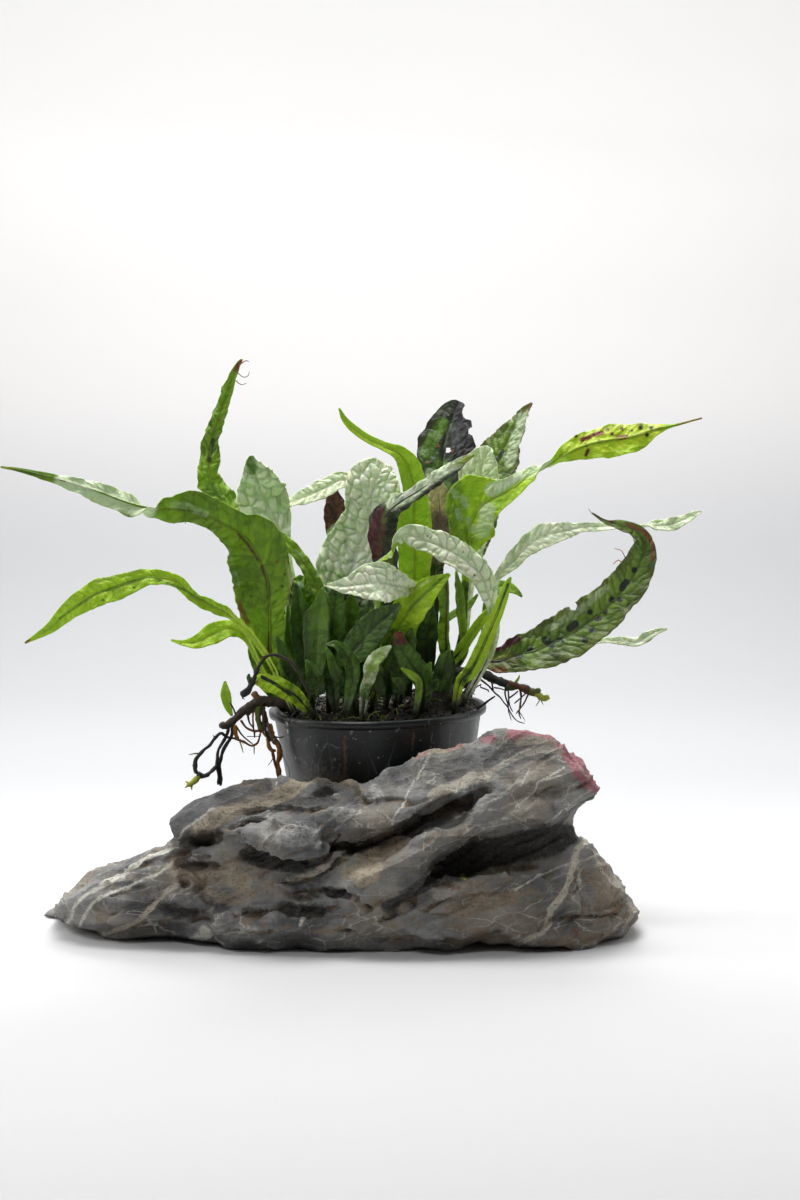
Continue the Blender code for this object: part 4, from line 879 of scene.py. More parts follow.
def tubeAlong(points, radii, sides=8):
    # a tube with closed ends, laid along the points
    pickNothing()
    bpy.ops.mesh.primitive_cylinder_add(vertices=sides, radius=1.0, depth=2.0)
    item = bpy.context.object
    bpy.ops.object.mode_set(mode="EDIT")
    bpy.ops.mesh.select_mode(type="EDGE")
    bpy.ops.mesh.select_all(action="DESELECT")
    bpy.ops.object.mode_set(mode="OBJECT")
    flat = readPoints(item)
    ends = np.array([tuple(edge.vertices) for edge in item.data.edges])
    upright = np.abs(flat[ends[:, 0], 2] - flat[ends[:, 1], 2]) > 1.0
    item.data.edges.foreach_set("select", upright)
    bpy.ops.object.mode_set(mode="EDIT")
    bpy.ops.mesh.subdivide(number_cuts=len(points) - 2)
    bpy.ops.object.mode_set(mode="OBJECT")
    flat = readPoints(item)
    row = np.rint((flat[:, 2] + 1.0) / 2.0 * (len(points) - 1)).astype(int)
    tangent = unit(np.gradient(points, axis=0))
    side = unit(np.cross(tangent, np.array([0.13, -0.97, 0.21])))
    other = np.cross(tangent, side)
    spot = points[row] + (side[row] * flat[:, :1] - other[row] * flat[:, 1:2]) * np.array(radii)[row][:, None]
    writePoints(item, spot)
    return item


def insideBox(points, margin=0.0003):
    return np.clip(points, np.array(cadBox[0]) + margin, np.array(cadBox[1]) - margin)


def cellDistance(points):
    result = np.empty((len(points), 2))
    for number, point in enumerate(points):
        result[number] = noise.voronoi(Vector(point))[0][:2]
    return result


def buildBlade(name, look):
    rows = bladeRoute(look)
    length = sum((Vector(a[:3]) - Vector(b[:3])).length for a, b in zip(rows, rows[1:]))
    wide = max(row[3] + row[4] for row in rows)
    step = look.get("step", 0.46) * mm
    rowCount = max(int(length / step), 12)
    columnCount = max(int(wide / step) // 2 * 2 + 1, 7)
    rows = smoothRows(rows, rowCount)
    centres, tangent, widthWay, normal, lean = bladeFrames(rows)
    blade, row, across = gridOn(rowCount, columnCount)
    seed = float(sum(ord(letter) for letter in name) % 97)
    along = np.linspace(0.0, length, rowCount)[row]
    sideSign = np.where(across < 0, -1.0, 1.0)
    half = np.where(across < 0, rows[row, 3], rows[row, 4])
    edgePlace = np.column_stack([along / 0.0028, sideSign * 3.0, np.full(len(along), seed)])
    edgeNoise = noiseAt(edgePlace, 1.0, seed) + 0.6 * noiseAt(edgePlace * np.array([0.35, 1.0, 1.0]), 1.0, seed + 1)
    half = np.maximum(half, 0.00018) / np.cos(lean[row])
    half = half * (1.0 + look.get("ragged", 0.05) * edgeNoise)
    t = across * half
    pitch, rise = look.get("cells", (3.4, 0.32))
    pitch *= mm
    slant = along - np.abs(t) * look.get("slant", 0.8)
    cells = cellDistance(np.column_stack([slant / pitch, np.abs(t) / (pitch * look.get("stretch", 1.5)),
                                          seed + sideSign * 4.0]))
    border = cells[:, 1] - cells[:, 0]
    dome = 1.0 - (1.0 - np.clip(border / 0.5, 0.0, 1.0)) ** 2
    ripple = noiseAt(np.column_stack([along, t, np.full(len(t), seed * mm)]), 0.012, seed)
    finer = noiseAt(np.column_stack([along, t, np.full(len(t), seed * mm)]), 0.0035, seed + 2)
    fullness = smoothStep(0.0007, 0.0030, half)
    lift = 1.9 * rise * (dome - 0.5) * smoothStep(0.0, 0.0018, np.abs(t)) * fullness
    lift += look.get("wave", 0.7) * ripple * fullness + 0.22 * finer
    ruffle, ruffleLength = look.get("ruffle", (0.5, 9.0))
    phase = along / (ruffleLength * mm) * 2.0 * math.pi + sideSign * 1.3 + 2.5 * ripple
    lift += ruffle * np.sin(phase) * np.abs(across) ** 2.2 * fullness
    ribWidth = look.get("rib", 0.75) * mm
    groove = np.exp(-(t / ribWidth) ** 2)
    lift -= 0.35 * groove * fullness
    spot = centres[row] + widthWay[row] * t[:, None]
    spot -= normal[row] * (look.get("fold", -0.12) * np.abs(t))[:, None]
    spot -= normal[row] * (look.get("cup", 0.0) * np.abs(across) ** 2 * half)[:, None]
    spot += normal[row] * (lift * mm)[:, None]
    writePoints(blade, insideBox(spot))
    pixels = toPhoto(spot)
    bitten = np.zeros(len(spot), bool)
    for px, py, reach in look.get("bites", []):
        bitten |= np.hypot(pixels[:, 0] - px, pixels[:, 1] - py) < reach
    veins = 1.0 - smoothStep(0.0, 0.22, border)
    ribMask = np.exp(-(t / (0.75 * ribWidth)) ** 2) * smoothStep(0.0005, 0.0018, half)
    writeMask(blade, "form", np.column_stack([veins, dome, np.abs(across) ** 3, ribMask]))
    paint = paintStrokes(pixels, look.get("strokes", []))
    if "root" in look:
        # the foot of the blade darkens into its brown stalk
        share = 1.0 - smoothStep(0.0, look.get("stalk", 14.0) * mm, along)
        paint[:, :3] = paint[:, :3] * (1.0 - share[:, None]) + np.array(linear(tints["stalk"])) * share[:, None]
        paint[:, 3] = np.maximum(paint[:, 3], 0.9 * share)
    writeMask(blade, "paint", paint)
    if bitten.any():
        pickOnly(blade)
        bpy.ops.object.mode_set(mode="EDIT")
        bpy.ops.mesh.select_mode(type="VERT")
        bpy.ops.mesh.select_all(action="DESELECT")
        bpy.ops.object.mode_set(mode="OBJECT")
        blade.data.vertices.foreach_set("select", bitten)
        bpy.ops.object.mode_set(mode="EDIT")
        bpy.ops.mesh.delete(type="VERT")
        bpy.ops.object.mode_set(mode="OBJECT")
    applyModifier(blade, "SOLIDIFY", thickness=look.get("thickness", 0.42) * mm, offset=0.0)
    if "root" in look:
        # the stalk and the rib stand out behind the blade
        share = np.linspace(0.0, 1.0, rowCount)
        thick = look.get("stem", (0.95, 0.22))
        radii = (thick[0] * (1.0 - share) ** 1.6 + thick[1]) * mm
        radii *= smoothStep(0.0, 0.10, 1.0 - share) * 0.9 + 0.1
        behind = centres - normal * (0.45 * radii + 0.00030)[:, None]
        every = max(2, rowCount // 80)
        stalk = tubeAlong(insideBox(behind[::every], 0.0012), radii[::every])
        points = readPoints(stalk)
        ones = np.ones(len(points))
        writeMask(stalk, "form", np.column_stack([0 * ones, 0 * ones, 0 * ones, 0.8 * ones]))
        near = np.clip(1.4 - np.linalg.norm(points - centres[0], axis=1) / (look.get("stalk", 14.0) * 2.2 * mm), 0, 1)
        rgb = np.tile(linear(tints["stalk"]), (len(points), 1))
        writeMask(stalk, "paint", np.column_stack([rgb, near]))
        pickOnly(blade, stalk)
        bpy.ops.object.join()
    return blade


def makeFrond(name, node, finish, look):
    blade = buildBlade(name, look)
    blade.data.materials.clear()
    blade.data.materials.append(finish)
    return keepPiece(blade, name, [node])


def leafFinish(name, look):
    leaf = Finish(name)
    where = leaf.place()
    paint, _, cover = leaf.attribute("paint")
    _, form, ribMask = leaf.attribute("form")
    patch = leaf.noise(where, 55, 4.0, 0.6)
    fleck = leaf.noise(where, 330, 5.0, 0.65)
    fine = leaf.noise(where, 1500, 3.0, 0.6)
    tone = leaf.mix(leaf.step(patch, 0.42, 0.60), asColour(look["deep"]), asColour(look["light"]))
    tone = leaf.mix(leaf.math("MULTIPLY", leaf.step(fleck, 0.42, 0.66), 0.35), tone, asColour(look["light"]))
    # the dome tops are painted lighter: painted highlight
    tone = leaf.mix(leaf.math("MULTIPLY", form["Green"], look["dome"]), tone, asColour(look["crest"]))
    tone = leaf.mix(leaf.math("MULTIPLY", form["Red"], look["veins"]), tone, asColour(look["vein"]))
    tone = leaf.mix(leaf.math("MULTIPLY", form["Blue"], look["edging"]), tone, asColour(look["edge"]))
    tone = leaf.mix(leaf.math("MULTIPLY", ribMask, look["ribs"]), tone, asColour(look["rib"]))
    ragged = leaf.math("ADD", cover, leaf.span(fleck, -0.42, 0.42))
    tone = leaf.mix(leaf.step(ragged, 0.12, 0.88), tone, paint)
    tone = leaf.mix(leaf.math("MULTIPLY", leaf.step(fine, 0.60, 0.75), look["specks"]), tone, asColour(look["speck"]))
    rough = leaf.span(fleck, look["rough"][0], look["rough"][1])
    crumple = leaf.noise(where, 140, 4.0, 0.6)
    relief = leaf.bump(crumple, 0.0022, leaf.bump(fleck, 0.0007, leaf.bump(fine, 0.00012)))
    leaf.shader.inputs["Subsurface Weight"].default_value = look["through"]
    leaf.shader.inputs["Subsurface Radius"].default_value = (0.6, 1.0, 0.25)
    leaf.shader.inputs["Subsurface Scale"].default_value = 0.0010
    leaf.shader.inputs["Coat Weight"].default_value = look["coat"]
    leaf.shader.inputs["Specular IOR Level"].default_value = 0.35
    leaf.shader.inputs["Coat Roughness"].default_value = 0.24
    return leaf.close(tone, rough, relief)


leafLooks = {
    "bright": {"deep": "93ba0c", "light": "b0d020", "crest": "bcd83a", "dome": 0.22, "vein": "74a00e",
               "veins": 0.15, "edge": "a3bc24", "edging": 0.3, "rib": "6a8420", "ribs": 0.35, "speck": "c9d886",
               "specks": 0.2, "rough": (0.40, 0.62), "through": 0.36, "coat": 0.10},
    "green": {"deep": "567a06", "light": "84aa14", "crest": "96ba28", "dome": 0.25, "vein": "466608",
              "veins": 0.2, "edge": "5f7c1c", "edging": 0.3, "rib": "464a14", "ribs": 0.35, "speck": "9fb95c",
              "specks": 0.15, "rough": (0.38, 0.60), "through": 0.38, "coat": 0.12},
    # dark green for leaves low in the crown, partly their colour and partly painted shade of the dense crown
    "deep": {"deep": "263f08", "light": "4c7410", "crest": "5e8822", "dome": 0.25, "vein": "152408",
             "veins": 0.3, "edge": "2a4213", "edging": 0.3, "rib": "1a2409", "ribs": 0.5, "speck": "6f8c4c",
             "specks": 0.16, "rough": (0.36, 0.60), "through": 0.18, "coat": 0.12},
    # pale base colours over the green stand for the sheen of the overhead light on the upper faces: painted sheen
    "pale": {"deep": "ccd8b0", "light": "e6ecd2", "crest": "eef2de", "dome": 0.35, "vein": "93ab74",
             "veins": 0.5, "edge": "b5c698", "edging": 0.3, "rib": "a0b682", "ribs": 0.3, "speck": "eef1e8",
             "specks": 0.3, "rough": (0.34, 0.54), "through": 0.30, "coat": 0.25},
    "mottled": {"deep": "40600e", "light": "6f8e28", "crest": "84a044", "dome": 0.3, "vein": "2e3914",
                "veins": 0.4, "edge": "54422c", "edging": 0.5, "rib": "33351a", "ribs": 0.5, "speck": "22230f",
                "specks": 0.4, "rough": (0.32, 0.56), "through": 0.22, "coat": 0.3},
    "dead": {"deep": "3c211a", "light": "61392b", "crest": "714637", "dome": 0.3, "vein": "29150f",
             "veins": 0.4, "edge": "351c15", "edging": 0.4, "rib": "27130e", "ribs": 0.6, "speck": "99705a",
             "specks": 0.3, "rough": (0.5, 0.8), "through": 0.08, "coat": 0.08},
    "beige": {"deep": "82745a", "light": "ab9d7e", "crest": "bcb093", "dome": 0.3, "vein": "6a5b42",
              "veins": 0.4, "edge": "72634a", "edging": 0.4, "rib": "584935", "ribs": 0.6, "speck": "564330",
              "specks": 0.3, "rough": (0.5, 0.8), "through": 0.12, "coat": 0.08},
    "dusky": {"deep": "1f2419", "light": "353f20", "crest": "46502e", "dome": 0.3, "vein": "131710",
              "veins": 0.4, "edge": "26281d", "edging": 0.3, "rib": "14160e", "ribs": 0.5, "speck": "73796a",
              "specks": 0.22, "rough": (0.32, 0.58), "through": 0.12, "coat": 0.25},
}
leafFinishes = {name: leafFinish(name + "Leaf", look) for name, look in leafLooks.items()}


# Growing medium: dark fibrous peat with clods and loose threads on it
mediumLook = {
    "lumps": 0.9, "grains": 0.35,
    "clods": 190, "clodSize": (0.6, 1.9),
    "threads": 230, "threadLength": (4.0, 11.0), "threadRadius": (0.16, 0.34),
    "seed": 11,
}


def peatFinish():
    peat = Finish("darkPeat")
    where = peat.place()
    clump = peat.noise(where, 260, 5.0, 0.7)
    patch = peat.noise(where, 70, 3.0, 0.5)
    tone = peat.mix(peat.step(clump, 0.36, 0.66), asColour("0c0b08"), asColour("241d13"))
    tone = peat.mix(peat.math("MULTIPLY", peat.step(clump, 0.64, 0.76), 0.6), tone, asColour("4a3e28"))
    tone = peat.mix(peat.math("MULTIPLY", peat.step(patch, 0.52, 0.68), 0.5), tone, asColour("2b3318"))
    paint, _, cover = peat.attribute("paint")
    tone = peat.mix(cover, tone, paint)
    return peat.close(tone, peat.span(clump, 0.7, 1.0), peat.bump(clump, 0.0008))


def onMedium(x, y):
    # a point on top of the medium, from a place measured from the pot's axis
    return potMatrix @ Vector((x, y, mediumHeight(x, y)))


def spreadOverPot(maker, count, reach):
    angles = maker.uniform(0.0, 2.0 * math.pi, count)
    radii = reach * np.sqrt(maker.uniform(0.0, 1.0, count))
    return np.column_stack([radii * np.cos(angles), radii * np.sin(angles)])


def makeMedium(look):
    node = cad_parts["growing_medium"]
    peat = bpy.data.objects.new("peat", node.data.copy())
    bpy.context.scene.collection.objects.link(peat)
    pickOnly(peat)
    bpy.ops.object.mode_set(mode="EDIT")
    bpy.ops.mesh.select_all(action="SELECT")
    bpy.ops.mesh.remove_doubles(threshold=0.00001)
    bpy.ops.object.mode_set(mode="OBJECT")
    centres = np.empty(len(peat.data.polygons) * 3)
    peat.data.polygons.foreach_get("center", centres)
    top = centres.reshape(-1, 3)[:, 2] > potPlace["z"] + 0.0635
    selectFaces(peat, top)
    bpy.ops.mesh.subdivide(number_cuts=5)
    bpy.ops.object.mode_set(mode="OBJECT")
    points = readPoints(peat)
    away = np.hypot(points[:, 0] - potPlace["x"], points[:, 1] - potPlace["y"])
    free = smoothStep(potPlace["z"] + 0.0625, potPlace["z"] + 0.0645, points[:, 2]) * smoothStep(0.0415, 0.0395, away)
    rise = look["lumps"] * noiseAt(points, 0.004, 1.0) + look["grains"] * noiseAt(points, 0.0014, 2.0) - 0.3
    points[:, 2] += rise * mm * free
    writePoints(peat, points)
    writeMask(peat, "paint", np.zeros((len(points), 4)))
    maker = np.random.default_rng(look["seed"])
    pieces = [peat]
    pickNothing()
    bpy.ops.mesh.primitive_ico_sphere_add(subdivisions=2, radius=mm)
    clod = bpy.context.object
    rough = readPoints(clod)
    writePoints(clod, rough * (1.0 + 0.35 * noiseAt(rough / mm, 0.9, 3.0))[:, None])
    pieces += scatterClods(clod, look, maker)
    for number, (x, y) in enumerate(spreadOverPot(maker, look["threads"], 0.0385)):
        start = np.array(onMedium(x, y))
        heading = maker.uniform(0.0, 2.0 * math.pi)
        length = maker.uniform(*look["threadLength"]) * mm
        arch = maker.uniform(0.2, 1.0) * length * 0.35
        run = np.linspace(0.0, 1.0, 7)[:, None]
        sway = maker.normal(0.0, 0.0005, (7, 3))
        way = np.array([math.cos(heading), math.sin(heading), 0.0])
        route = start + way * run * length + np.array([0, 0, 1.0]) * np.sin(run * math.pi) * arch + sway
        route[:, 2] += 0.0004
        route = keepInPot(route)
        tint = ("charcoal", "dirtAndShade", "dirtAndShade", "shade", "olive", "charcoal")[number % 6]
        pieces.append(tintedTube(route, np.full(7, maker.uniform(*look["threadRadius"]) * mm), tint, 5))
    pickOnly(*pieces)
    bpy.ops.object.join()
    peat.data.materials.clear()
    peat.data.materials.append(peatFinish())
    keepPiece(peat, "fern_medium", ["growing_medium"])
    print("medium:", len(peat.data.polygons), "faces")


def keepInPot(route):
    # threads and clods stay inside the wall while they are under the rim
    x, y = route[:, 0] - potPlace["x"], route[:, 1] - potPlace["y"]
    away = np.hypot(x, y)
    reach = np.where(route[:, 2] < potPlace["z"] + 0.0695, 0.0405, 0.0440)
    share = np.minimum(1.0, reach / np.maximum(away, 1e-6))
    return np.column_stack([potPlace["x"] + x * share, potPlace["y"] + y * share, route[:, 2]])


def scatterClods(clod, look, maker):
    pieces = []
    shape = readPoints(clod)
    for number, (x, y) in enumerate(spreadOverPot(maker, look["clods"], 0.0385)):
        item = bpy.data.objects.new("clod", clod.data.copy())
        bpy.context.scene.collection.objects.link(item)
        size = maker.uniform(*look["clodSize"])
        turn = Matrix.Rotation(maker.uniform(0, 6.28), 3, "Z") @ Matrix.Rotation(maker.uniform(0, 6.28), 3, "X")
        spot = shape @ np.array(turn).T * size * np.array([1.0, 1.0, 0.75]) + np.array(onMedium(x, y))
        writePoints(item, keepInPot(spot))
        tint = ("dirtAndShade", "charcoal", "brown", "shade", "olive")[number % 5]
        writeMask(item, "paint", np.tile([*linear(tints[tint]), 0.55], (len(spot), 1)))
        pieces.append(item)
    bpy.data.objects.remove(clod)
    return pieces


def tintedTube(route, radii, tint, sides=6, cover=1.0):
    tube = tubeAlong(route, radii, sides)
    writeMask(tube, "paint", np.tile([*linear(tints[tint]), cover], (len(tube.data.vertices), 1)))
    return tube


makeMedium(mediumLook)


# Creeping stems and roots: (tint, radius at the start and the end in pixels, route), where a route is
# (pixel x, pixel y, depth from the pot's axis in mm)
def rootFinish():
    bark = Finish("rootBark")
    where = bark.place()
    paint, _, cover = bark.attribute("paint")
    fleck = bark.noise(where, 420, 5.0, 0.7)
    streak = bark.noise(bark.place(scale=(1, 1, 0.3)), 900, 3.0, 0.6)
    tone = bark.mix(bark.span(fleck, 0.0, 0.36), paint, asColour("1c1510"))
    tone = bark.mix(bark.math("MULTIPLY", bark.step(fleck, 0.60, 0.75), 0.45), tone, asColour("8f7b48"))
    return bark.close(tone, bark.span(streak, 0.55, 0.9), bark.bump(fleck, 0.0006, bark.bump(streak, 0.0002)))


def makeRoots(name, node, finish, look):
    pieces = []
    for number, (tint, first, last, route) in enumerate(look["routes"]):
        points = [tuple(fromPhoto(px, py, potPlace["y"] + depth * mm)) for px, py, depth in route]
        length = sum((Vector(a) - Vector(b)).length for a, b in zip(points, points[1:]))
        count = min(max(int(length / (0.8 * mm)), 6), 90)
        rows = smoothRows(points, count)
        radii = np.linspace(first, last, count) * photo["pixelSize"]
        bark = noiseAt(rows, look["lumpLength"] * mm, number + 1.0)
        radii = radii * (1.0 + look["lumps"] * bark)
        rows = rows + np.column_stack([noiseAt(rows, 0.0035, s) for s in (2.0, 3.0, 4.0)]) * look["wander"] * mm
        radii[-1] *= 0.5
        tube = tubeAlong(insideBox(rows, 0.0006), radii, look["sides"] if first > 2.5 else 7)
        shape = readPoints(tube)
        if first > 2.5:
            out = shape - smoothRows(points, 60)[np.argmin(((shape[:, None] - smoothRows(points, 60)[None]) ** 2).sum(2), 1)]
            shape = shape + unit(out + 1e-9) * (noiseAt(shape, 0.0016, 5.0) * look["rough"] * mm)[:, None]
            writePoints(tube, insideBox(shape))
        writeMask(tube, "paint", np.tile([*linear(tints[tint]), 1.0], (len(shape), 1)))
        pieces.append(tube)
    pickOnly(*pieces)
    bpy.ops.object.join()
    item = pieces[0]
    item.data.materials.clear()
    item.data.materials.append(finish)
    keepPiece(item, name, [node] if node else [])
    print(name + ":", len(item.data.polygons), "faces")


bark = rootFinish()
leftRoots = {
    "lumps": 0.35, "lumpLength": 2.2, "wander": 0.35, "rough": 0.55, "sides": 16,
    "routes": [
        ("dirtAndShade", 5.5, 3.2, [(292, 702, -15), (272, 702, -16), (258, 701, -17), (246, 709, -18), (236, 718, -19),
                            (226, 726, -20), (220.5, 723, -20)]),
        ("umber", 4.6, 3.6, [(262, 703, -16.5), (256, 697, -17), (254, 691, -17)]),
        ("dirtAndShade", 3.0, 4.0, [(270, 700, -16), (258, 707, -17), (244, 712, -18.3)]),
        ("charcoal", 2.1, 1.7, [(234, 722, -19.5), (231, 736, -20), (226.5, 744, -20.5), (222, 753, -21),
                                (219.5, 763, -21.5), (220.5, 775, -22), (220, 786, -22)]),
        ("charcoal", 1.7, 1.3, [(229.5, 725, -20), (225.7, 736, -21), (220.4, 747, -22), (217, 756, -22.5),
                                (217, 765, -23), (218.6, 775, -22.8), (217.7, 785, -22.5)]),
        ("shade", 1.2, 2.2, [(235, 738.6, -20), (226.6, 737, -22), (221, 733, -23), (215, 738, -24), (209.6, 745, -25),
                             (203.4, 750, -25.6), (199, 755.5, -26), (195.4, 762, -26.4), (195.4, 770, -26.7),
                             (198, 774, -26.8)]),
        ("charcoal", 2.9, 1.6, [(198, 774, -26.8), (203, 776.5, -26.4), (209.5, 773, -25.4), (215, 768, -23.8),
                                (217.5, 764, -23)]),
        ("olive", 0.9, 0.4, [(200, 753.5, -25.8), (194, 753.2, -26.4), (188.7, 754.8, -26.8)]),
        ("shade", 0.8, 0.3, [(215, 738, -24), (212.6, 735.4, -24.4)]),
        ("shade", 0.8, 0.3, [(195, 765.5, -26.5), (191.3, 765.2, -26.8)]),
        ("yellow", 2.4, 3.4, [(199.5, 775.5, -26.8), (196, 780, -26.9), (191, 783.5, -27), (187, 785.5, -27)]),
        ("yellow", 2.0, 0.5, [(191, 783, -27), (188, 785, -27.4), (184.6, 788, -27.6)]),
        ("yellow", 2.0, 0.5, [(192, 783, -26.6), (192, 787, -26.4), (192, 790.5, -26.4)]),
        ("yellow", 1.6, 0.5, [(190, 784, -27), (187, 782, -27.2), (185, 781.5, -27.4)]),
        ("amber", 2.4, 1.8, [(234.6, 726, -19.5), (235.5, 734, -20), (239, 740, -20.3)]),
        ("yellow", 1.0, 0.4, [(239, 739, -20.3), (241.8, 746, -20.4), (243, 753, -20.4)]),
        ("yellow", 0.8, 0.4, [(240, 739, -20.1), (242, 741, -20), (243.8, 745, -20)]),
        ("olive", 1.1, 0.5, [(235.5, 726, -19.2), (241, 733, -19.6), (247, 740, -20), (253.4, 745, -20.3),
                             (254.3, 749, -20.3), (254.7, 754, -20.3)]),
        ("umber", 1.2, 1.1, [(234.6, 738.6, -20), (242.7, 741, -20.6), (248, 744.4, -20.8), (252.5, 745.8, -20.6),
                             (257, 743, -20), (259, 738.6, -19.4), (260.5, 733, -19)]),
        ("umber", 1.2, 1.2, [(240.9, 720, -18.8), (245.4, 727, -19.4), (250.7, 730.4, -19.6), (257, 731, -19.4),
                             (264, 729.6, -18.8)]),
        ("charcoal", 1.0, 0.9, [(247, 713, -18.2), (249, 722.5, -19), (253.4, 728, -19.4), (254.7, 738, -19.5)]),
        ("charcoal", 0.4, 0.4, [(247, 736.4, -19.4), (254.5, 736.6, -19.5), (261.4, 736.4, -19.2)]),
        ("amber", 1.2, 0.9, [(253.4, 710, -17.8), (253, 720.7, -18.6), (254, 728, -19)]),
        ("olive", 3.6, 2.2, [(258, 706, -17.4), (258, 717, -17.9), (259.6, 726, -18.2), (263, 733, -18.2)]),
        ("umber", 2.8, 2.4, [(261.4, 706, -17), (266, 720, -17.2), (270, 728, -17.4), (273, 737, -17.6)]),
        ("dirtAndShade", 2.0, 1.6, [(264, 706, -18.6), (264, 720, -19.4), (266, 731, -19.6), (270, 741, -19.2)]),
        ("amber", 1.3, 1.1, [(262, 730, -18.6), (265, 735, -19), (270, 739, -19), (275, 742, -18.6)]),
        ("tan", 1.8, 1.5, [(267.7, 722.5, -18.4), (269, 731, -18.8), (272, 740, -19), (276, 745, -18.8)]),
        ("amber", 1.6, 1.4, [(271, 724, -17.4), (272.5, 733, -18), (276, 741, -18.4), (280, 747, -18.4)]),
        ("tan", 1.3, 1.0, [(263, 729, -18.2), (268, 733, -18.8), (274, 737, -19), (279, 743, -18.8), (281, 749, -18.6)]),
        ("amber", 2.2, 1.9, [(267.5, 738, -18.4), (269, 746, -18.6), (272, 750.5, -18.6), (276, 751, -18.6)]),
        ("amber", 2.3, 2.6, [(277, 743, -18.6), (279.5, 751, -18.6), (278, 760, -18.6), (278.6, 770, -18.8),
                            (280, 780, -19)]),
        ("umber", 1.6, 1.5, [(272, 749, -18.8), (274, 759, -19), (276.4, 767, -19.1), (278, 777, -19.2)]),
        ("amber", 1.2, 0.8, [(280, 747, -18.4), (282, 752, -18.4), (281.5, 757, -18.6), (280, 762, -18.8)]),
        ("dirtAndShade", 0.5, 0.3, [(273, 758, -19.2), (270.5, 762, -19.6), (267.7, 766, -19.8)]),
        ("charcoal", 1.0, 0.6, [(274, 737, -19.4), (279, 737.4, -22), (284.6, 735.9, -24)]),
        ("charcoal", 0.8, 0.5, [(296, 711.5, -33), (292, 716, -31), (289, 724, -29)]),
        ("grey", 0.5, 0.4, [(282, 752, -19), (286, 762, -22), (289, 770, -23), (290, 778, -23)]),
        ("charcoal", 1.1, 0.8, [(236, 713.6, -19), (233, 708, -19.2), (230, 703, -19.4)]),
    ],
}
makeRoots("fern_rhizome_left", "rhizome_left", bark, leftRoots)

rightRoots = {
    "lumps": 0.35, "lumpLength": 2.2, "wander": 0.3, "rough": 0.55, "sides": 16,
    "routes": [
        ("shade", 4.4, 4.0, [(452, 672, -12), (470, 672, -13), (481, 673, -13.6), (492, 678, -14.2),
                             (502, 682.5, -14.8), (512, 686, -15.2)]),
        ("brown", 4.2, 3.4, [(508, 684, -15), (519, 686.5, -15.6), (528, 690, -16), (537, 695, -16.6)]),
        ("olive", 3.6, 2.8, [(530, 691, -16.2), (536, 692, -16.6), (540, 688.4, -16.8)]),
        ("yellow", 3.0, 3.6, [(535, 694, -16.6), (543, 698, -16.9), (549.5, 696.6, -17)]),
        ("yellowGreen", 1.6, 0.6, [(516, 682, -15.6), (518.5, 678, -15.8), (519.5, 674.5, -16)]),
        ("deepGreen", 3.2, 2.6, [(506, 687, -16), (511, 688, -16.2), (515, 689.6, -16.2)]),
        ("charcoal", 1.0, 0.5, [(478, 677, -14), (487, 684.6, -14.6), (493.4, 691, -15), (501.4, 699, -15.4),
                                (506.8, 706, -15.6), (512, 715, -15.6), (517.5, 721, -15.4), (525, 723.2, -15)]),
        ("charcoal", 1.1, 0.4, [(505.9, 682, -15.5), (505, 693.6, -16.2), (507.7, 702.5, -16.6), (508.6, 711.4, -16.8),
                                (511, 720.8, -16.8)]),
        ("brown", 1.0, 0.7, [(506.8, 683, -15.2), (508.6, 695, -16), (509.5, 705, -16.4), (513, 712, -16.5)]),
        ("charcoal", 0.9, 0.8, [(518, 691, -16), (513, 695.5, -16.4), (508.6, 699, -16.6)]),
        ("shade", 1.1, 0.6, [(520, 689, -16), (521.5, 697, -16.6), (520, 706, -17), (519.3, 714, -17), (521, 719.5, -17)]),
        ("shade", 0.6, 0.3, [(519.6, 712, -17), (522.5, 717, -17), (525.5, 721.7, -17)]),
        ("rust", 1.0, 0.6, [(529, 694, -16.4), (524.6, 702.5, -17.2), (519.3, 709.6, -17.6), (516, 714.6, -17.8)]),
        ("charcoal", 0.8, 0.7, [(526.4, 693, -16.2), (520, 699, -16.6), (514, 704, -17)]),
        ("charcoal", 0.9, 0.7, [(488, 676, -14), (492, 684, -14.6), (493.6, 691, -15.4)]),
        ("charcoal", 0.9, 0.6, [(478, 681, -16), (474, 679, -17), (470.5, 680, -18)]),
        ("charcoal", 0.9, 0.6, [(477, 680.5, -16), (474.6, 684.6, -17), (474.6, 691, -18), (469.5, 690, -19)]),
        ("charcoal", 0.8, 0.6, [(477, 674, -14.4), (480.5, 679, -15.4), (478.6, 682.6, -16)]),
        ("brown", 0.8, 0.7, [(494.3, 687.3, -15), (500, 688.6, -15.4), (505, 690, -15.8)]),
        ("charcoal", 1.4, 1.0, [(477, 708.5, -16), (486, 703, -15), (495.2, 696, -14)]),
        ("yellow", 0.7, 0.4, [(540, 700, -16.8), (538, 703.5, -17), (536, 706.5, -17.2)]),
        ("yellow", 0.6, 0.3, [(541, 700, -16.8), (542.5, 703, -16.8), (544, 704.6, -16.8)]),
        ("dirtAndShade", 1.0, 0.5, [(497, 680, -15), (494, 683, -16), (490, 682, -16.6)]),
    ],
}
makeRoots("fern_rhizome_right", "rhizome_right", bark, rightRoots)


def charFinish():
    char = Finish("charredStalk")
    where = char.place()
    paint, _, _ = char.attribute("paint")
    flake = char.noise(where, 520, 5.0, 0.7)
    tone = char.mix(char.span(flake, 0.0, 0.8), paint, asColour("141316"))
    tone = char.mix(char.math("MULTIPLY", char.step(flake, 0.62, 0.74), 0.6), tone, asColour("5d5a5c"))
    return char.close(tone, char.span(flake, 0.6, 0.95), char.bump(flake, 0.0008))


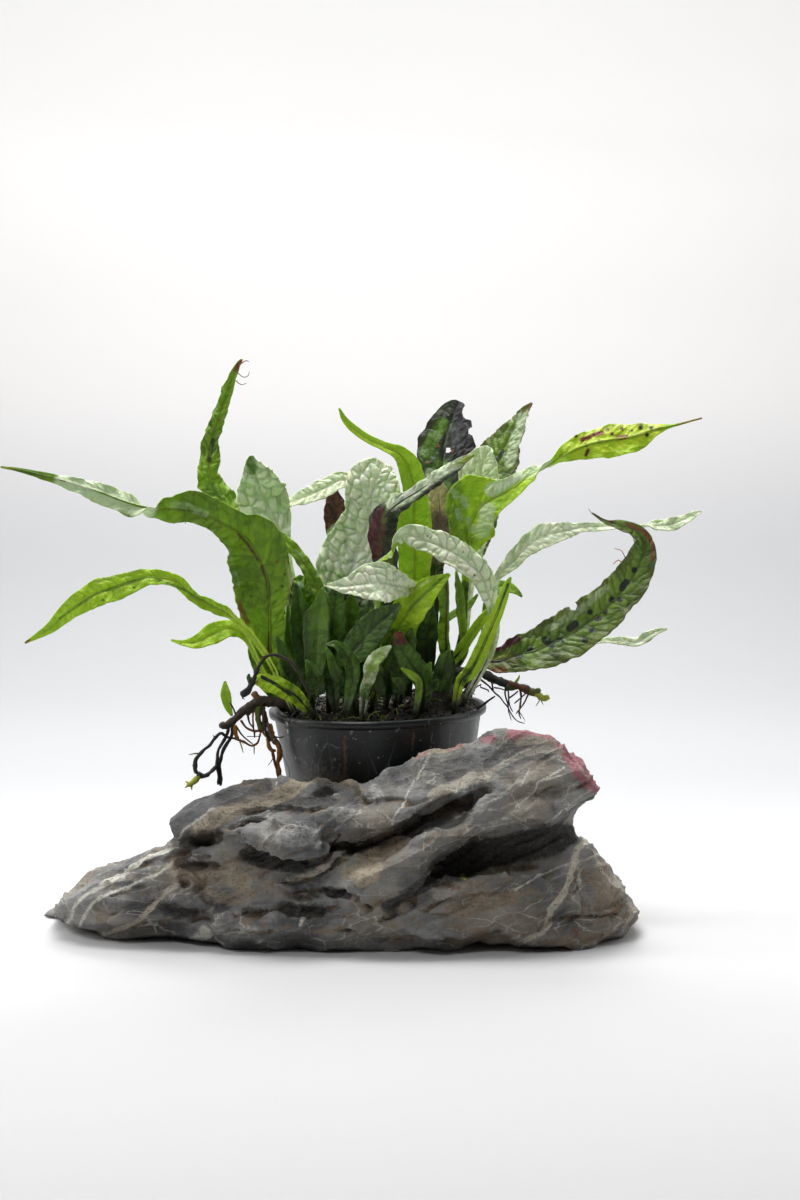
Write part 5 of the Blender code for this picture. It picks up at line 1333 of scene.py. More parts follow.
deadStalk = {
    "lumps": 0.3, "lumpLength": 1.6, "wander": 0.25, "rough": 0.7, "sides": 18,
    "routes": [
        ("charcoal", 2.6, 3.6, [(257.4, 669, -38), (254.5, 677, -38), (251, 685.5, -38), (246, 691.5, -38),
                                (241.5, 696, -38)]),
        ("dirtAndShade", 1.2, 1.6, [(311, 697, -37), (306, 687, -37.4), (301, 677, -37.8), (294.5, 666, -38), (287, 659, -38),
                            (276.5, 655, -38), (268, 656, -38), (261.5, 662, -38), (257, 670, -38)]),
        ("olive", 0.9, 0.7, [(309, 694, -36.4), (299, 675, -37.2), (288, 661, -37.4), (276, 656.6, -37.4)]),
        ("deepGreen", 3.0, 1.6, [(251.5, 681, -37.6), (249, 677, -37.4), (248.6, 673.6, -37.4)]),
        ("charcoal", 1.6, 0.6, [(246, 690, -38), (242.6, 697.5, -38.2), (244.5, 699, -38.2)]),
        ("brown", 0.8, 0.4, [(268, 655, -38), (263, 657, -38.4), (259.5, 655.4, -38.8)]),
    ],
}
makeRoots("fern_dead_stalk", "dead_stalk", charFinish(), deadStalk)


longLeft = {
    "root": (-38, -4), "fold": -0.16, "cells": (4.2, 0.28), "ruffle": (1.0, 11.0), "ragged": 0.07,
    "strokes": [
        ("brown", 2.4, 0.85, [(270, 668), (269, 650), (270, 632)]), ("brown", 2.0, 0.8, [(270, 626), (269, 604)]),
        ("brown", 2.2, 0.8, [(269, 598), (267, 580), (262, 566)]), ("brown", 1.8, 0.7, [(258, 560), (248, 545), (238, 534)]),
        ("rust", 4.0, 0.55, [(239, 600), (242, 612), (247, 622)]), ("blackGreen", 2.5, 0.7, [(282, 586)]),
        ("blackGreen", 2.0, 0.7, [(285, 574)]), ("rust", 2.0, 0.6, [(277, 562)]), ("blackGreen", 2.0, 0.6, [(251, 596)]),
        ("paintedSheen", 3.0, 0.25, [(229, 550), (232, 562), (238, 584)]),
        ("straw", 2.0, 0.5, [(286, 560), (291, 584), (292, 604)]), ("fresh", 6.0, 0.35, [(284, 600), (284, 630)]),
        ("straw", 13.0, 0.5, [(142, 507), (118, 500), (95, 491)]), ("paleGreen", 13.0, 0.95, [(146, 508), (118, 500), (95, 491), (66, 483)]),
        ("paleGreen", 5.0, 0.4, [(205, 514), (190, 507), (172, 505)]), ("rust", 1.4, 0.5, [(24, 471), (2, 467)]),
    ],
    "route": [
        (281, 692, -6, 14, 12, 0), (272, 664, -10, 20, 16, 0), (270, 618, -12, 27, 14, 0), (269, 599, -13, 31, 18, 0),
        (268, 582, -14, 34, 23, 0), (263, 566, -14, 32, 28, 0), (256, 551, -15, 30, 30, 2), (246, 538, -16, 27, 27, 5),
        (233, 529, -18, 18, 18, 8), (213, 519, -20, 11, 19, 10), (191, 511, -22, 11, 19, 14), (170, 509, -24, 12, 12, 35),
        (150, 509, -26, 9, 9, 90), (130, 504, -27, 11, 11, 160), (95, 491, -28, 9, 9, 180), (55, 479, -29, 4.5, 4.5, 180),
        (20, 470, -30, 2, 2, 180), (0, 467, -30, 0.8, 0.8, 180)],
}
makeFrond("fern_long_left", "frond_long_left", leafFinishes["green"], longLeft)

crumpledUpright = {
    "root": (-28, 18), "fold": 0.35, "cells": (3.0, 0.6), "ragged": 0.2, "ruffle": (0.9, 8.0),
    "strokes": [
        ("rust", 3.0, 0.8, [(236, 370), (241, 362), (246, 361)]), ("orange", 1.6, 0.8, [(240, 366)]),
        ("green", 3.0, 0.5, [(222, 405), (229, 388)]), ("green", 4.0, 0.45, [(206, 470), (214, 488), (224, 502)]),
        ("black", 3.0, 0.6, [(213, 440), (209, 460)]), ("rust", 2.0, 0.5, [(219, 420)]),
    ],
    "route": [
        (285, 640, 19, 8, 0), (265, 580, 21, 13, 0), (243, 530, 22, 16, 10), (218, 494, 22, 12, 20),
        (209, 475, 22, 9.5, 22), (210, 455, 22, 9.5, 25), (213, 435, 22, 8, 0), (222, 408, 22, 6, 15),
        (229, 387, 21, 5, 0), (237, 367, 20, 3, 0), (242, 359, 20, 1.0, 0)],
}
makeFrond("fern_crumpled_upright", "frond_crumpled_upright", leafFinishes["green"], crumpledUpright)

lowLeft = {
    "root": (-33, -20), "fold": -0.10, "cells": (3.2, 0.3),
    "strokes": [
        ("green", 1.8, 0.6, [(212, 606), (183, 589), (150, 577), (125, 583), (96, 594), (60, 618)]),
        ("straw", 1.8, 0.4, [(140, 570), (118, 574), (96, 583)]), ("blackGreen", 1.6, 0.7, [(103, 600)]),
        ("blackGreen", 1.4, 0.7, [(134, 588)]), ("rust", 1.4, 0.6, [(84, 597)]), ("rust", 1.6, 0.6, [(30, 640), (25, 643)]),
    ],
    "route": [
        (266, 655, -26, 4, 40), (234, 618, -30, 6, 50), (212, 606, -34, 7, 40), (195, 598, -37, 5, 10),
        (176, 581, -40, 6, 0), (150, 577, -42, 7.5, 0), (130, 583, -43.5, 10.5, 0), (110, 590, -45, 12, 0),
        (96, 594, -46, 12.5, 0), (71, 609, -48, 9, 0), (50, 628, -49, 5, 0), (25, 643, -50, 0.9, 0)],
}
makeFrond("fern_low_left", "frond_low_left", leafFinishes["bright"], lowLeft)

smallLeft = {
    "root": (-35, -10), "fold": -0.10, "cells": (2.6, 0.15),
    "route": [
        (264, 672, -14, 3, 40), (246, 638, -19, 4, 30), (230, 629, -21, 8, 0), (213, 634, -23, 10, 0),
        (197, 642, -25, 6.5, 0), (183, 643, -26, 2.8, 0), (171, 640, -27, 0.8, 0)],
}
makeFrond("fern_small_left", "frond_small_left", leafFinishes["bright"], smallLeft)

blisteredLeft = {
    "root": (-30, 7), "fold": -0.14, "cells": (4.2, 0.95), "ragged": 0.08, "slant": 0.4, "stretch": 1.1,
    "strokes": [
        ("paintedSheen", 20.0, 0.5, [(256, 478), (264, 500), (276, 530)]), ("deepGreen", 12.0, 0.7, [(296, 590), (300, 640)]),
        ("fresh", 6.0, 0.6, [(248, 460), (252, 470)]), ("straw", 2.0, 0.5, [(240, 480), (236, 492), (240, 505)]), ("green", 7.0, 0.8, [(250, 456), (252, 468)]),
    ],
    "route": [
        (300, 640, 8, 8, 0), (293, 590, 9, 14, 5, 0), (286, 552, 9, 17, 5, 0), (275, 518, 9, 24, 16, 10),
        (262, 494, 7, 27, 24, 12), (257, 479, 4, 18, 21, 16), (254, 468, 2, 10, 14, 12), (252, 461, 0, 6, 6, 10),
        (251, 456, -1, 2, 0)],
}
makeFrond("fern_blistered_left", "frond_blistered_left", leafFinishes["pale"], blisteredLeft)

reachingArm = {
    "root": (-10, 17), "fold": -0.12, "cells": (3.0, 0.4),
    "route": [
        (364, 640, 17, 7, 0), (367, 580, 17, 11, 0), (364, 520, 17, 12, 0), (355, 489, 16, 10, 0),
        (343, 480, 15, 8, 0), (327, 487, 14, 9.5, 0), (308, 496, 14, 8, 0), (292, 502, 15, 5, 0),
        (272, 512, 16, 1.2, 0)],
}
makeFrond("fern_reaching_arm", "frond_reaching_arm", leafFinishes["pale"], reachingArm)

strapLeft = {
    "root": (-20, -8), "fold": -0.10, "cells": (2.8, 0.3), "ruffle": (0.6, 8.0),
    "strokes": [("paintedSheen", 2.5, 0.4, [(303, 560), (296, 550)]), ("deepGreen", 8.0, 0.6, [(326, 620), (329, 655)])],
    "route": [
        (329, 655, -9, 5, 0), (325, 608, -9, 5, 0), (312, 577, -8, 6.5, 0), (300, 557, -7, 6, 0),
        (286, 541, -6, 5, 0), (268, 527, -5, 1.2, 0)],
}
makeFrond("fern_strap_left", "frond_strap_left", leafFinishes["green"], strapLeft)

broadQuilted = {
    "root": (-13, 2), "fold": -0.14, "cells": (3.6, 0.85), "ragged": 0.07, "slant": 0.4, "stretch": 1.1,
    "strokes": [
        ("blackGreen", 16.0, 0.75, [(344, 640), (345, 606)]), ("deepGreen", 12.0, 0.55, [(326, 596), (348, 592), (366, 600)]),
        ("paintedSheen", 24.0, 0.5, [(376, 480), (370, 520), (358, 560)]), ("blackGreen", 2.0, 0.6, [(352, 560)]),
        ("rust", 1.8, 0.6, [(398, 487)]), ("deepGreen", 2.0, 0.6, [(345, 541)]),
    ],
    "route": [
        (345, 655, 2, 10, 10, 0), (344, 615, 2, 22, 20, 0), (350, 575, 1, 34, 24, 0), (361, 545, 1, 34, 24, 0),
        (369, 515, 0, 25, 30, 0), (373, 490, 0, 27, 30, 0), (379, 473, 1, 24, 20, 0), (385, 463, 2, 10, 8, 0)],
}
makeFrond("fern_broad_quilted", "frond_broad_quilted", leafFinishes["pale"], broadQuilted)

smoothBright = {
    "root": (9, 7), "fold": -0.14, "cells": (3.6, 0.16), "ruffle": (0.4, 12.0),
    "route": [
        (409, 650, 6, 9, 0), (413, 600, 3, 14, 0), (415, 550, 0, 17, 0), (414, 515, -3, 17, 0),
        (414, 490, -5, 11.5, 0), (410, 470, -5.5, 11.5, 0), (401, 455, -6, 8, 0), (388, 448, -7, 5, 0),
        (370, 440, -8, 4, 0), (355, 430, -9, 4, 0), (345, 420, -9.5, 3, 0), (339, 408, -10, 0.9, 0)],
}
makeFrond("fern_smooth_bright", "frond_smooth_bright", leafFinishes["bright"], smoothBright)

deadEdged = {
    "root": (3, -4), "fold": 0.25, "cells": (3.0, 0.5), "ragged": 0.14,
    "strokes": [
        ("paleGreen", 8.0, 0.9, [(392, 503), (404, 498), (416, 489), (428, 479), (440, 471), (456, 463)]),
        ("grey", 4.0, 0.5, [(400, 498), (414, 490)]), ("blackGreen", 2.0, 0.9, [(398, 510), (416, 501), (430, 488), (446, 478)]),
        ("maroon", 6.0, 0.9, [(381, 512), (373, 527), (371, 544), (371, 562)]),
        ("brown", 3.5, 0.8, [(383, 527), (381, 543), (378, 555)]), ("blackGreen", 6.0, 0.8, [(395, 514), (391, 530)]),
        ("olive", 5.0, 0.7, [(389, 556), (391, 580)]), ("olive", 3.0, 0.8, [(386, 512), (384, 522)]),
        ("olive", 4.0, 0.9, [(460, 462), (466, 459)]), ("darkGreen", 14.0, 0.9, [(392, 596), (394, 650)]),
        ("fresh", 3.0, 0.5, [(458, 464), (472, 456)]),
    ],
    "route": [
        (396, 650, -7, 6, 0), (392, 600, -10, 9, 0), (386, 560, -13, 12, 0), (383, 535, -15, 14, 0),
        (386, 515, -17, 12, 0), (400, 502, -18, 7.5, 0), (418, 491, -18, 7, 0), (437, 478, -18, 7, 0),
        (452, 468, -17.5, 6, 0), (463, 460, -17, 4, 0), (474, 455, -16, 1.2, 0)],
}
makeFrond("fern_dead_edged", "frond_dead_edged", leafFinishes["dusky"], deadEdged)

deadBrown = {
    "root": (-18, 22), "fold": -0.10, "cells": (3.0, 0.5), "ragged": 0.15,
    "strokes": [
        ("paleGreen", 14.0, 0.85, [(337, 536), (341, 575)]), ("darkGreen", 12.0, 0.9, [(343, 604), (345, 640)]),
        ("black", 3.0, 0.6, [(330, 505), (334, 518)]),
    ],
    "route": [
        (345, 640, 23, 5, 0), (342, 580, 24, 8, 0), (338, 540, 24, 10, 0), (336, 515, 23, 12.5, 0),
        (334, 500, 22.5, 9, 0), (333, 490, 22, 4, 0)],
}
makeFrond("fern_dead_brown", "frond_dead_brown", leafFinishes["dead"], deadBrown)

deadBeige = {
    "root": (17, 11), "fold": -0.10, "cells": (2.6, 0.5), "ragged": 0.14,
    "strokes": [
        ("beige", 14.0, 0.9, [(434, 484), (436, 504)]), ("straw", 3.0, 0.6, [(428, 490), (427, 508), (430, 524)]), ("purple", 16.0, 0.95, [(437, 524), (438, 548)]),
        ("darkGreen", 16.0, 0.95, [(437, 576), (434, 610), (431, 650)]),
    ],
    "route": [
        (430, 650, 11, 5, 0), (434, 600, 10, 6, 0), (437, 560, 9, 8, 0), (440, 525, 8, 11, 0),
        (439, 500, 7, 11, 0), (436, 480, 6, 6, 0)],
}
makeFrond("fern_dead_beige", "frond_dead_beige", leafFinishes["beige"], deadBeige)

blackTopped = {
    "root": (10, 27), "fold": -0.14, "cells": (3.4, 0.2), "ragged": 0.05,
    "bites": [(470, 412, 7.5), (472, 431, 3.5), (448, 450, 2.2)],
    "strokes": [
        ("deepGreen", 12.0, 0.9, [(430, 458), (428, 480), (430, 510)]), ("green", 8.0, 0.75, [(426, 452), (433, 438), (443, 424)]),
        ("black", 14.0, 0.9, [(464, 412), (469, 432), (470, 450), (462, 466)]), ("smoke", 5.0, 0.6, [(454, 426), (456, 446)]),
        ("rust", 1.8, 1.0, [(438, 446)]), ("rust", 1.8, 1.0, [(453, 451)]), ("rust", 1.8, 1.0, [(428, 462)]),
        ("green", 9.0, 0.6, [(442, 466), (448, 500)]), ("paleGreen", 7.0, 0.45, [(430, 474), (436, 480)]), ("darkGreen", 18.0, 0.9, [(437, 530), (431, 590), (426, 650)]),
        ("black", 5.0, 0.6, [(421, 470), (425, 496)]),
    ],
    "route": [
        (424, 650, 27, 5, 0), (431, 580, 28, 9, 0), (437, 520, 28, 20, 22, 0), (440, 485, 28, 18, 26, 0),
        (442, 462, 28, 24, 28, 0), (444, 445, 28, 27, 33, 0), (448, 428, 28, 20, 27, 0),
        (453, 414, 28, 15, 20, 0), (457, 405, 28, 9, 11, 0), (459, 401, 28, 3, 4, 0)],
}
makeFrond("fern_black_topped", "frond_black_topped", leafFinishes["dusky"], blackTopped)

mottledPoint = {
    "root": (22, 24), "fold": -0.14, "cells": (3.4, 0.5), "ragged": 0.08,
    "strokes": [
        ("paleGreen", 7.0, 0.6, [(524, 416), (516, 438), (510, 462)]), ("black", 3.0, 0.7, [(503, 452), (497, 462)]),
        ("black", 2.5, 0.6, [(512, 431)]), ("rust", 2.0, 0.6, [(530, 405), (526, 412)]), ("olive", 6.0, 0.6, [(486, 480), (490, 500)]),
        ("darkGreen", 16.0, 0.85, [(474, 570), (462, 640)]),
    ],
    "route": [
        (458, 650, 24, 3, 0), (468, 590, 25, 4.5, 0), (478, 540, 25, 13, 0), (488, 495, 25, 20, 0),
        (497, 465, 25, 24, 22, 0), (505, 447, 25, 18, 18, 0), (516, 426, 24, 9, 10, 0), (525, 411, 24, 4, 5, 0),
        (532, 403, 23, 1, 0)],
}
makeFrond("fern_mottled_point", "frond_mottled_point", leafFinishes["mottled"], mottledPoint)

roundPale = {
    "root": (29, 15), "fold": -0.16, "cells": (3.0, 0.4),
    "route": [
        (464, 640, 15, 3, 0), (471, 580, 15, 4.5, 0), (477, 530, 15, 13, 0), (480, 495, 14, 19, 0),
        (481, 472, 13, 21, 19, 0), (486, 457, 12, 14, 14, 0), (491, 448, 11, 4, 0)],
}
makeFrond("fern_round_pale", "frond_round_pale", leafFinishes["pale"], roundPale)

spottedRight = {
    "root": (27, 6), "fold": -0.14, "cells": (3.8, 0.26), "ruffle": (0.7, 12.0),
    "strokes": [
        ("lime", 16.0, 0.55, [(578, 447), (610, 440), (652, 430)]),
        ("paleGreen", 9.0, 0.7, [(492, 490), (508, 481), (526, 472), (545, 463)]),
        ("paleGreen", 10.0, 0.6, [(488, 510), (484, 530)]), ("paleGreen", 3.5, 0.6, [(453, 491), (456, 496)]),
        ("paleGreen", 3.5, 0.55, [(463, 498), (466, 505)]), ("paleGreen", 3.0, 0.5, [(457, 511), (460, 518)]),
        ("paleGreen", 3.5, 0.55, [(469, 520), (472, 530)]), ("paintedSheen", 4.0, 0.5, [(500, 486), (520, 476)]),
        ("green", 16.0, 0.6, [(452, 488), (456, 520), (464, 540)]), ("green", 2.0, 0.5, [(560, 456), (590, 444), (632, 437), (663, 428)]),
        ("rust", 2.6, 1.0, [(582, 440), (590, 437)]), ("rust", 2.6, 1.0, [(594, 435), (602, 433)]), ("brown", 2.2, 1.0, [(586, 445)]),
        ("brown", 2.2, 1.0, [(612, 434)]), ("rust", 2.6, 1.0, [(618, 438), (626, 437)]), ("brown", 2.2, 1.0, [(608, 430)]),
        ("brown", 2.2, 1.0, [(622, 429)]), ("blackGreen", 3.0, 1.0, [(641, 428)]), ("blackGreen", 2.4, 1.0, [(651, 428)]),
        ("blackGreen", 2.4, 1.0, [(647, 435)]), ("brown", 2.0, 1.0, [(588, 450), (586, 455)]), ("brown", 1.8, 1.0, [(599, 441)]),
        ("brown", 1.8, 1.0, [(632, 431)]), ("brown", 1.8, 1.0, [(576, 436)]), ("rust", 1.5, 0.7, [(676, 425), (702, 418)]),
        ("straw", 2.0, 0.4, [(596, 430), (620, 425), (650, 424)]), ("deepGreen", 12.0, 0.7, [(465, 590), (462, 640)]),
    ],
    "route": [
        (462, 640, 5, 3, 0), (465, 590, 5, 3.5, 0), (467, 555, 4, 7, 8, 0), (469, 530, 4, 20, 26, 0),
        (480, 508, 3, 34, 20, -8), (506, 492, 2, 13, 11, -8), (530, 475, 1, 9, 9, 20), (549, 464, 0, 4.5, 4.5, 90),
        (571, 451, 0, 9.5, 160), (590, 444, 0, 13.5, 175), (610, 440, 0, 16, 180), (632, 437, 0, 14.5, 180),
        (650, 431, 0, 8.5, 180), (663, 427.5, 0, 3.5, 180), (676, 425, 0, 1.2, 180), (702, 418, 0, 0.7, 180)],
}
makeFrond("fern_spotted_right", "frond_spotted_right", leafFinishes["bright"], spottedRight)

archedPale = {
    "root": (34, -18), "fold": -0.14, "cells": (3.6, 0.6), "slant": 0.5, "stretch": 1.2,
    "strokes": [
        ("fresh", 5.0, 0.6, [(489, 655), (494, 625), (492, 608)]), ("straw", 2.0, 0.5, [(470, 571), (450, 562), (430, 552)]),
        ("rust", 1.4, 0.8, [(463, 552)]), ("blackGreen", 1.4, 0.8, [(474, 575)]), ("rust", 1.3, 0.7, [(427, 536)]),
        ("fresh", 5.5, 0.85, [(397, 546), (382, 560), (363, 572)]),
    ],
    "route": [
        (489, 655, -19, 4, 0), (495, 625, -20, 4.5, 0), (493, 610, -20.5, 5.5, 0), (489, 596, -21, 8, 0),
        (481, 575, -22, 11.5, 0), (463, 559.5, -24, 13, 0), (444, 548, -25, 13.5, 0), (426, 540, -26, 11.5, 0),
        (409, 535, -27, 9, 25), (398, 540, -26.5, 6, 60), (392, 552, -26, 6, 110), (381, 560, -25, 4, 130),
        (363, 572, -24, 1.0, 130)],
}
makeFrond("fern_arched_pale", "frond_arched_pale", leafFinishes["pale"], archedPale)

brightStrap = {
    "root": (31, -22), "fold": -0.10, "cells": (3.0, 0.25),
    "strokes": [("deepGreen", 1.8, 0.7, [(465, 680), (481, 651), (497, 614), (508, 584)]), ("rust", 1.6, 0.7, [(470, 658)]),
                ("deepGreen", 6.0, 0.6, [(462, 682), (468, 672)])],
    "route": [
        (460, 683, -24, 5, 0), (471, 671, -25, 7, 0), (481, 651, -26, 7, 0), (489, 632, -26.5, 6.5, 0),
        (497, 614, -27, 5.5, 0), (502, 600, -27, 5, 0), (508, 583, -27, 3, 0), (511, 577, -27, 0.9, 0)],
}
makeFrond("fern_bright_strap", "frond_bright_strap", leafFinishes["bright"], brightStrap)

shortStrap = {
    "root": (24, -7), "fold": -0.10, "cells": (2.8, 0.15),
    "route": [
        (449, 664, -7.5, 4.5, 0), (459, 653, -8.5, 5.5, 0), (468, 640, -9, 5, 0), (478, 625, -10, 5, 0),
        (489, 612, -10, 4, 0), (503, 601, -10, 1.2, 0)],
}
makeFrond("fern_short_strap", "frond_short_strap", leafFinishes["bright"], shortStrap)

paleLongRight = {
    "root": (36, 3), "fold": -0.12, "cells": (3.2, 0.4),
    "route": [
        (485, 640, 3, 5, 0), (493, 600, 2, 4, 0), (497, 578, 1.5, 3.5, 0), (511, 563, 0.5, 8, 0),
        (524, 549, 0, 9, 0), (541, 538, -1, 12, 0), (562, 532, -1, 9, 0), (580, 528, 1, 5, 0),
        (600, 527, 4, 4.5, 0), (620, 527, 5.5, 3, 60), (640, 526, 6, 3, 80), (653, 525, 6, 5, 20),
        (668, 525, 6, 6.5, 0), (684, 520, 6, 5, 0), (695, 514, 6, 3, 0), (702, 512, 6, 0.8, 0)],
}
makeFrond("fern_pale_long_right", "frond_pale_long_right", leafFinishes["pale"], paleLongRight)

smallBehind = {
    "root": (38, 11), "fold": -0.10, "cells": (2.6, 0.15),
    "route": [
        (484, 640, 12, 4, 0), (488, 605, 12, 5, 0), (498, 588, 12, 6, 0), (509, 588, 12, 5.5, 0),
        (517, 592, 12, 3, 0), (522, 597, 12, 0.8, 0)],
}
makeFrond("fern_small_behind", "frond_small_behind", leafFinishes["green"], smallBehind)

mottledRight = {
    "root": (38, -6), "fold": -0.18, "cells": (3.8, 0.36), "ruffle": (0.9, 12.0), "ragged": 0.08,
    "bites": [(573, 606, 3.5)],
    "strokes": [
        ("maroon", 4.5, 0.9, [(485, 653), (503, 646), (517, 639)]), ("olive", 9.0, 0.8, [(484, 665), (500, 664), (512, 660)]),
        ("yellow", 4.0, 0.4, [(494, 658), (508, 654)]), ("rust", 4.0, 0.8, [(488, 673), (504, 670)]),
        ("blackGreen", 4.2, 0.9, [(530, 650)]), ("blackGreen", 4.8, 0.9, [(545, 640), (551, 644)]), ("blackGreen", 4.2, 0.9, [(556, 655)]),
        ("blackGreen", 4.8, 0.9, [(570, 628), (575, 624)]), ("blackGreen", 4.2, 0.9, [(585, 640)]), ("blackGreen", 4.7, 0.9, [(598, 618)]),
        ("blackGreen", 4.2, 0.9, [(612, 600)]), ("blackGreen", 4.2, 0.9, [(622, 588), (626, 582)]), ("blackGreen", 3.8, 0.9, [(634, 570)]),
        ("blackGreen", 3.8, 0.9, [(520, 656)]), ("blackGreen", 3.8, 0.9, [(560, 640)]), ("blackGreen", 3.8, 0.9, [(592, 630)]),
        ("blackGreen", 3.6, 0.9, [(605, 612)]), ("blackGreen", 3.6, 0.9, [(590, 612)]), ("blackGreen", 3.6, 0.9, [(620, 600)]),
        ("rust", 2.4, 0.7, [(652, 560), (653, 545), (645, 532), (628, 524)]), 
        ("olive", 7.0, 0.5, [(540, 660), (565, 650)]), ("paleGreen", 5.0, 0.4, [(550, 628), (580, 610), (606, 588)]),
        ("brown", 2.0, 0.8, [(612, 522), (594, 514)]),
    ],
    "route": [
        (482, 664, -7, 6, 0), (500, 661, -8, 13, 0), (520, 655, -9, 18, 0), (542, 648, -10, 21, 0),
        (566, 637, -10, 24, 0), (587, 624, -10, 23.4, 0), (604, 610, -10, 21, 0), (617.5, 596, -9.5, 19, 0),
        (630, 581, -9, 19, 0), (639, 565, -8, 16, 0), (643, 552, -7.5, 13, 0), (643, 540, -7, 9, 15),
        (635, 530, -6, 6, 30), (620, 525, -5, 4.5, 20), (606, 522, -4, 2, 0), (592, 513, -4, 0.7, 0)],
}
makeFrond("fern_mottled_right", "frond_mottled_right", leafFinishes["mottled"], mottledRight)

smallRight = {
    "root": (35, 19), "fold": -0.10, "cells": (2.6, 0.15),
    "route": [
        (500, 655, 12, 3, 0), (555, 648, 8, 3, 0), (600, 641, 6, 2.5, 0), (622, 641, 6, 4, 0),
        (637, 642, 6, 4.5, 0), (648, 636, 6, 5, 0), (657, 631.5, 6, 3, 0), (667, 629, 6, 0.8, 0)],
}
makeFrond("fern_small_right", "frond_small_right", leafFinishes["pale"], smallRight)

glossyLeft = {
    "root": (-27, -1), "fold": -0.16, "cells": (3.6, 0.7),
    "strokes": [
        ("paintedSheen", 5.0, 0.55, [(300, 586)]), ("paintedSheen", 4.0, 0.5, [(311, 592)]), ("paintedSheen", 5.0, 0.5, [(299, 601)]),
        ("paintedSheen", 4.0, 0.5, [(313, 607)]), ("paintedSheen", 4.0, 0.45, [(304, 616)]), ("blackGreen", 14.0, 0.8, [(310, 640), (312, 668)]),
        ("brown", 2.4, 0.8, [(292, 580), (289, 598), (286, 616)]),
    ],
    "route": [
        (312, 668, -2, 6, 0), (309, 640, -3, 9, 0), (306, 615, -4, 15, 0), (304, 598, -4, 15, 0),
        (301, 584, -3, 10, 0), (297, 576, -2, 3, 0)],
}
makeFrond("fern_glossy_left", "frond_glossy_left", leafFinishes["green"], glossyLeft)

cutLeft = {
    "root": (-25, -27), "fold": 0.20, "cells": (2.6, 0.35), "ragged": 0.1,
    "strokes": [("blackGreen", 2.2, 0.95, [(262, 677), (275, 684), (290, 694)]), ("rust", 2.0, 0.6, [(257, 682)]),
                ("deepGreen", 8.0, 0.5, [(290, 686), (298, 698)])],
    "route": [
        (296, 696, -30, 8, 0), (281, 687, -31, 9, 0), (266, 682, -32, 8.5, 0), (256, 679, -32, 5, 0)],
}
makeFrond("fern_cut_left", "frond_cut_left", leafFinishes["bright"], cutLeft)

darkCentre = {
    "root": (-17, -16), "fold": -0.12, "cells": (3.2, 0.2),
    "route": [(331, 665, -16, 11, 0), (332, 630, -16, 14, 0), (335, 603, -15, 10, 0), (337, 584, -14, 2, 0)],
}
makeFrond("fern_dark_centre", "frond_dark_centre", leafFinishes["deep"], darkCentre)

darkDiagonal = {
    "root": (-8, -22), "fold": -0.14, "cells": (3.2, 0.2),
    "route": [(346, 668, -24, 10, 0), (361, 643, -26, 15, 0), (380, 622, -26, 13, 0), (400, 604, -26, 2.0, 0)],
}
makeFrond("fern_dark_diagonal", "frond_dark_diagonal", leafFinishes["deep"], darkDiagonal)

curledTip = {
    "root": (-13, -29), "fold": -0.12, "cells": (3.0, 0.2),
    "route": [(353, 674, -31, 7, 0), (346, 655, -32, 7, 0), (337, 645, -33, 4, 0), (326, 644, -33, 1, 0)],
}
makeFrond("fern_curled_tip", "frond_curled_tip", leafFinishes["deep"], curledTip)

redTipped = {
    "root": (18, -25), "fold": -0.14, "cells": (3.0, 0.4), "ragged": 0.12,
    "strokes": [("rust", 6.0, 0.9, [(390, 631), (399, 633), (407, 637)]), ("deadBrown", 4.0, 0.85, [(391, 642), (404, 641)]),
                ("paintedSheen", 3.0, 0.4, [(402, 684), (422, 691)])],
    "route": [(424, 683, -28, 9, 0), (411, 664, -30, 11, 0), (401, 648, -31, 8, 0), (398, 632, -31, 4, 0)],
}
makeFrond("fern_red_tipped", "frond_red_tipped", leafFinishes["deep"], redTipped)

paleCurled = {
    "root": (-6, -34), "fold": 0.20, "cells": (2.8, 0.4),
    "strokes": [("deepGreen", 8.0, 0.6, [(370, 690), (362, 700)]), ("fresh", 5.0, 0.5, [(372, 668), (380, 655)]),
                ("straw", 2.5, 0.6, [(368, 672), (363, 682)]),
                ("green", 12.0, 0.55, [(368, 690), (372, 668), (384, 654)])],
    "route": [
        (365, 690, -35, 5, 0), (370, 676, -36, 6, 0), (372, 663, -37, 8, 20), (383, 652, -37, 5, 0),
        (391, 646, -37, 1, 0)],
}
makeFrond("fern_pale_curled", "frond_pale_curled", leafFinishes["pale"], paleCurled)

tinyBright = {
    "root": (15, -33), "fold": -0.10, "cells": (2.4, 0.1),
    "route": [(419, 685, -34, 3.5, 0), (411, 675, -35, 3.5, 0), (401, 668, -35, 1, 0)],
}
makeFrond("fern_tiny_bright", "frond_tiny_bright", leafFinishes["green"], tinyBright)

wavyThin = {
    "root": (21, -2), "fold": 0.20, "cells": (2.6, 0.3), "ruffle": (0.7, 7.0), "ragged": 0.2,
    "strokes": [("brown", 0.9, 0.8, [(446, 574), (447, 598), (446, 626), (446, 660)])],
    "route": [
        (446, 660, -3, 6, 3, 0), (446, 636, -3, 9, 3, 0), (446, 612, -4, 6, 3, 0), (446, 592, -4, 8, 3, 0),
        (447, 573, -4, 1, 0)],
}
makeFrond("fern_wavy_thin", "frond_wavy_thin", leafFinishes["green"], wavyThin)

wavyShort = {
    "root": (30, -4), "fold": 0.20, "cells": (2.6, 0.2), "ruffle": (0.7, 7.0), "ragged": 0.2,
    "route": [
        (465, 652, -4, 3, 0), (463, 629, -4, 4, 0), (461, 610, -4, 4.5, 0), (459, 589, -4, 4, 0), (456, 571, -4, 1, 0)],
}
makeFrond("fern_wavy_short", "frond_wavy_short", leafFinishes["green"], wavyShort)

